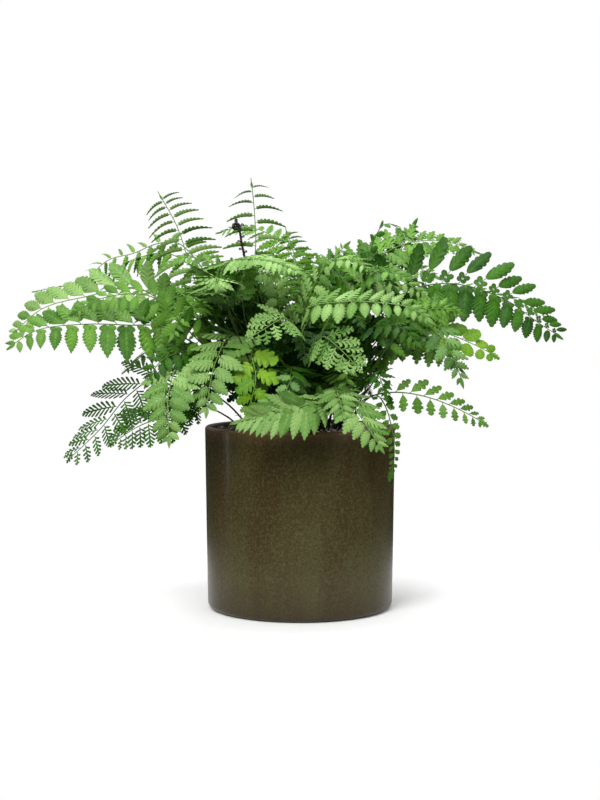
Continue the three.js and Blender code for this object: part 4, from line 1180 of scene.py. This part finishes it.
def grain_material():
    material, tree, shader = node_tree("granules")
    draw = looks_of(tree)[2]
    stops = [
        (0.0, (0.85, 0.83, 0.8)), (0.4, (0.7, 0.64, 0.6)),
        (0.6, (0.55, 0.4, 0.35)), (1.0, (0.9, 0.88, 0.86)),
    ]
    colour = mixed(tree, noise(tree, 900, 3), ramp(tree, draw, stops), (0.3, 0.26, 0.22))
    rough = ramp(tree, noise(tree, 500, 2), [(0.3, 0.7), (0.7, 0.9)])
    feed_all(tree, shader, Base_Color=colour, Roughness=rough)
    return material


# Pot, soil and granules

def lathe(shell, profile, sides):
    """A closed turned body: the profile starts and ends on the axis."""
    angles = turns_of(sides)
    middle = np.array(profile[1:-1])
    rings = np.empty((len(middle), sides, 3))
    rings[:, :, 0] = middle[:, :1] * np.cos(angles)
    rings[:, :, 1] = middle[:, :1] * np.sin(angles)
    rings[:, :, 2] = middle[:, 1:]
    shell.tube(rings, looks_for(rings.shape[:2], side=1), 0, flip=True)


def arc(centre, radius, start, end, steps):
    angles = [math.radians(lerp(start, end, i / steps)) for i in range(steps + 1)]
    return [(centre[0] + radius * math.cos(a), centre[1] + radius * math.sin(a)) for a in angles]


def pot_piece():
    curve = POT_FOOT - FOOT_FLAT
    inner = POT_RIM - POT_WALL
    shares = [i / 12 for i in range(1, 12)]
    profile = [
        (0, FOOT_RECESS),
        (74, FOOT_RECESS),
        (76, 0),
        *arc((FOOT_FLAT, curve), curve, -90, 0, 8),
        *[(lerp(POT_FOOT, POT_RIM, t), lerp(curve, POT_HEIGHT - POT_LIP, t)) for t in shares],
        *arc((POT_RIM - POT_LIP, POT_HEIGHT - POT_LIP), POT_LIP, 0, 90, 8),
        (inner + 1, POT_HEIGHT - 0.35),
        (inner, POT_HEIGHT - 1.5),
        (inner - 0.1, POT_HEIGHT - 6),
        (inner - 2, POT_FLOOR + 8),
        (inner - 10, POT_FLOOR),
        (0, POT_FLOOR),
    ]
    shell = Shell()
    lathe(shell, profile, POT_SIDES)
    pot = shell.build("glazed_pot", [glaze_material()])
    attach(pot, "root")
    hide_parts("pot")


def soil_height(x, y):
    """The height of the crumbly soil at a place."""
    r = math.hypot(x, y)
    slope = max(0, (r - SOIL_MOUND) / (SOIL_RADIUS - SOIL_MOUND))
    rough = math.sin(x * 0.9 + 1.3 * math.sin(y * 0.53)) * math.sin(y * 0.83 + 1.7 * math.sin(x * 0.41))
    fine = math.sin(x * 2.7 + y * 1.1) * math.sin(y * 2.3 - x * 0.7)
    return lerp(SOIL_CROWN, SOIL_EDGE, slope) - 0.6 + 0.8 * rough + 0.5 * fine


def soil_piece():
    reach = SOIL_RADIUS - SOIL_MIDDLE
    radii = [SOIL_MIDDLE + i * reach / SOIL_RINGS for i in range(SOIL_RINGS + 1)]
    bottom = POT_FLOOR + 0.3
    below = [(SOIL_RADIUS - 1.6, POT_FLOOR + 9), (SOIL_RADIUS - 9.6, bottom), (0, bottom)]
    profile = [(0, SOIL_CROWN), *[(r, SOIL_CROWN) for r in radii], *below][::-1]
    shell = Shell()
    lathe(shell, profile, SOIL_SIDES)
    rings, ends = shell.points
    for p in [*rings, ends[1]]:
        if p[2] > SOIL_EDGE:
            p[2] = soil_height(p[0], p[1])
    piece = shell.build("soil_bed", [soil_material()])
    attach(piece, "root")
    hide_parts("soil")


GRAINS = 900
GRAIN_SIDES = 6
GRAIN_RINGS = ((0.7, -0.55), (1.0, 0.0), (0.65, 0.6))


def granules_piece():
    """Pale and pinkish granules and small crumbs that lie on the soil."""
    shell = Shell()
    angles = turns_of(GRAIN_SIDES)
    for k in range(GRAINS):
        r = SOIL_RADIUS * math.sqrt(chance(k, 501)) * 0.98
        turn = chance(k, 502) * 2 * math.pi
        x, y = r * math.cos(turn), r * math.sin(turn)
        size = lerp(0.9, 2.6, chance(k, 503) ** 2)
        centre = np.array([x, y, soil_height(x, y) + size * 0.25])
        rings = np.empty((len(GRAIN_RINGS), GRAIN_SIDES, 3))
        for i, (share, z) in enumerate(GRAIN_RINGS):
            lumps = np.array([pick(0.75, 1.2, k * 7 + j, 510 + i) for j in range(GRAIN_SIDES)])
            rings[i, :, 0] = np.cos(angles) * share * lumps
            rings[i, :, 1] = np.sin(angles) * share * lumps
            rings[i, :, 2] = z
        shell.tube(rings * size + centre, looks_for(rings.shape[:2], draw=chance(k, 504)), 0, flip=True)
    piece = shell.build("granules", [grain_material()])
    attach(piece, "root")


# The plant. For each tone: the deep green, the bright green, the rib and the underside.

TONES = {
    "light": ((0.1, 0.25, 0.035), (0.31, 0.52, 0.15), (0.37, 0.57, 0.2), (0.16, 0.32, 0.08)),
    "mid": ((0.036, 0.135, 0.006), (0.16, 0.37, 0.04), (0.21, 0.43, 0.07), (0.085, 0.22, 0.025)),
    "dark": ((0.01, 0.065, 0.001), (0.06, 0.21, 0.008), (0.09, 0.27, 0.02), (0.045, 0.14, 0.01)),
    # painted shade: the deep tone is a darker copy of the leaf colours for the shaded inner crown
    "deep": ((0.006, 0.036, 0.001), (0.03, 0.12, 0.005), (0.05, 0.16, 0.01), (0.02, 0.07, 0.005)),
    "yellow": ((0.08, 0.26, 0.003), (0.28, 0.52, 0.03), (0.33, 0.56, 0.06), (0.17, 0.36, 0.03)),
    "grey": ((0.06, 0.19, 0.03), (0.21, 0.4, 0.11), (0.28, 0.47, 0.15), (0.13, 0.27, 0.08)),
    "young": ((0.02, 0.016, 0.008), (0.05, 0.04, 0.016), (0.08, 0.07, 0.03), (0.04, 0.03, 0.015)),
}
STEM_FOOT = (0.014, 0.011, 0.007)
STEM_TIPS = {
    "light": (0.15, 0.29, 0.05),
    "mid": (0.09, 0.22, 0.02),
    "dark": (0.05, 0.14, 0.01),
    # painted shade: the deep tone's stem tips, darker for the shaded inner crown
    "deep": (0.03, 0.08, 0.008),
    "yellow": (0.16, 0.33, 0.03),
    "grey": (0.1, 0.22, 0.04),
    "young": (0.02, 0.015, 0.009),
}


def plant():
    specs = all_specs()
    slots = crown_slots(len(specs) + CROWN_SPARE)
    looks = {}
    for tone, colours in TONES.items():
        stems = stem_material("stem_" + tone, STEM_FOOT, STEM_TIPS[tone])
        looks[tone] = [leaf_material("leaf_" + tone, *colours), stems]
    for index, spec in enumerate(specs):
        piece = frond_piece(spec, index, slots, looks[spec.get("look", spec["tone"])])
    undergrowth(looks)


# Stage, in metres. Lights: name, place, what it looks at, size and power.

FLOOR_RADIUS = 0.6
FLOOR_PLAIN = 0.09
FLOOR_CORNERS = 96
LIGHTS = [
    ("key", (-0.6, -1.5, 1.5), (0, 0, 0.27), (0.9, 0.9), 30),
    ("right_panel", (1.3, -1.2, 0.8), (0, 0, 0.25), (0.4, 1.0), 5),
    ("left_strip", (-1.4, 0.1, 0.4), (0, 0, 0.15), (0.06, 0.9), 1.0),
    ("top", (0, 0.2, 1.8), (0, 0, 0.3), (1.0, 0.8), 17),
]
CAMERA_PLACE = (0, -1.62564, 0.30867)
CAMERA_TILT = math.radians(90 - 3.17)
LENS = 69.54
SENSOR = 36


def area_light(name, place, aim, size, power):
    light = bpy.data.lights.new(name, "AREA")
    light.shape = "RECTANGLE"
    light.size, light.size_y = size
    light.energy = power
    lamp = new_object(name, light)
    lamp.location = place
    lamp.rotation_euler = (Vector(aim) - Vector(place)).to_track_quat("-Z", "Y").to_euler()
    lamp.visible_camera = False


def floor_piece():
    """A pale round floor that fades into the backdrop."""
    mesh = bpy.data.meshes.new("floor")
    turns = [2 * math.pi * i / FLOOR_CORNERS for i in range(FLOOR_CORNERS)]
    rim = [(FLOOR_RADIUS * math.cos(a), FLOOR_RADIUS * math.sin(a), 0) for a in turns]
    mesh.from_pydata(rim, [], [tuple(range(FLOOR_CORNERS))])
    floor = new_object("floor", mesh)
    material, tree, shader = node_tree("floor")
    far = new_node(tree, "VectorMath", Vector=coordinates_of(tree, "Object"))
    far.operation = "LENGTH"
    fade = new_node(
        tree, "MapRange", Value=far.outputs["Value"],
        From_Min=FLOOR_PLAIN, From_Max=FLOOR_RADIUS, To_Min=1, To_Max=0,
    )
    fade.interpolation_type = "SMOOTHSTEP"
    feed_all(tree, shader, Base_Color=(0.95, 0.95, 0.95), Roughness=0.9, Specular_IOR_Level=0.1)
    feed_all(tree, shader, Alpha=fade.outputs["Result"])
    mesh.materials.append(material)


def backdrop():
    """White to look at. As a light it is bright above and dim at the level of the pot."""
    world = bpy.data.worlds.new("studio")
    bpy.context.scene.world = world
    world.use_nodes = True
    tree = world.node_tree
    sky = tree.nodes["Background"]
    upward = height_of(tree, coordinates_of(tree, "Generated"))
    height = sums(tree, "ADD", sums(tree, "MULTIPLY", upward, 0.5), 0.5)
    stops = [(0.0, 0.03), (0.5, 0.03), (0.62, 0.22), (0.85, 0.95)]
    feed_all(tree, sky, Color=ramp(tree, height, stops), Strength=1.0)
    plain = new_node(tree, "Background", Color=(1, 1, 1))
    seen = new_node(tree, "LightPath").outputs["Is Camera Ray"]
    blended(tree, seen, sky, plain, "World Output")


def camera():
    lens = bpy.data.cameras.new("camera")
    lens.lens = LENS
    lens.sensor_width = SENSOR
    view = new_object("camera", lens)
    view.location = CAMERA_PLACE
    view.rotation_euler = (CAMERA_TILT, 0, 0)
    bpy.context.scene.camera = view


bpy.context.scene.view_settings.view_transform = "Standard"
camera()
floor_piece()
backdrop()
for row in LIGHTS:
    area_light(*row)
pot_piece()
soil_piece()
granules_piece()
plant()
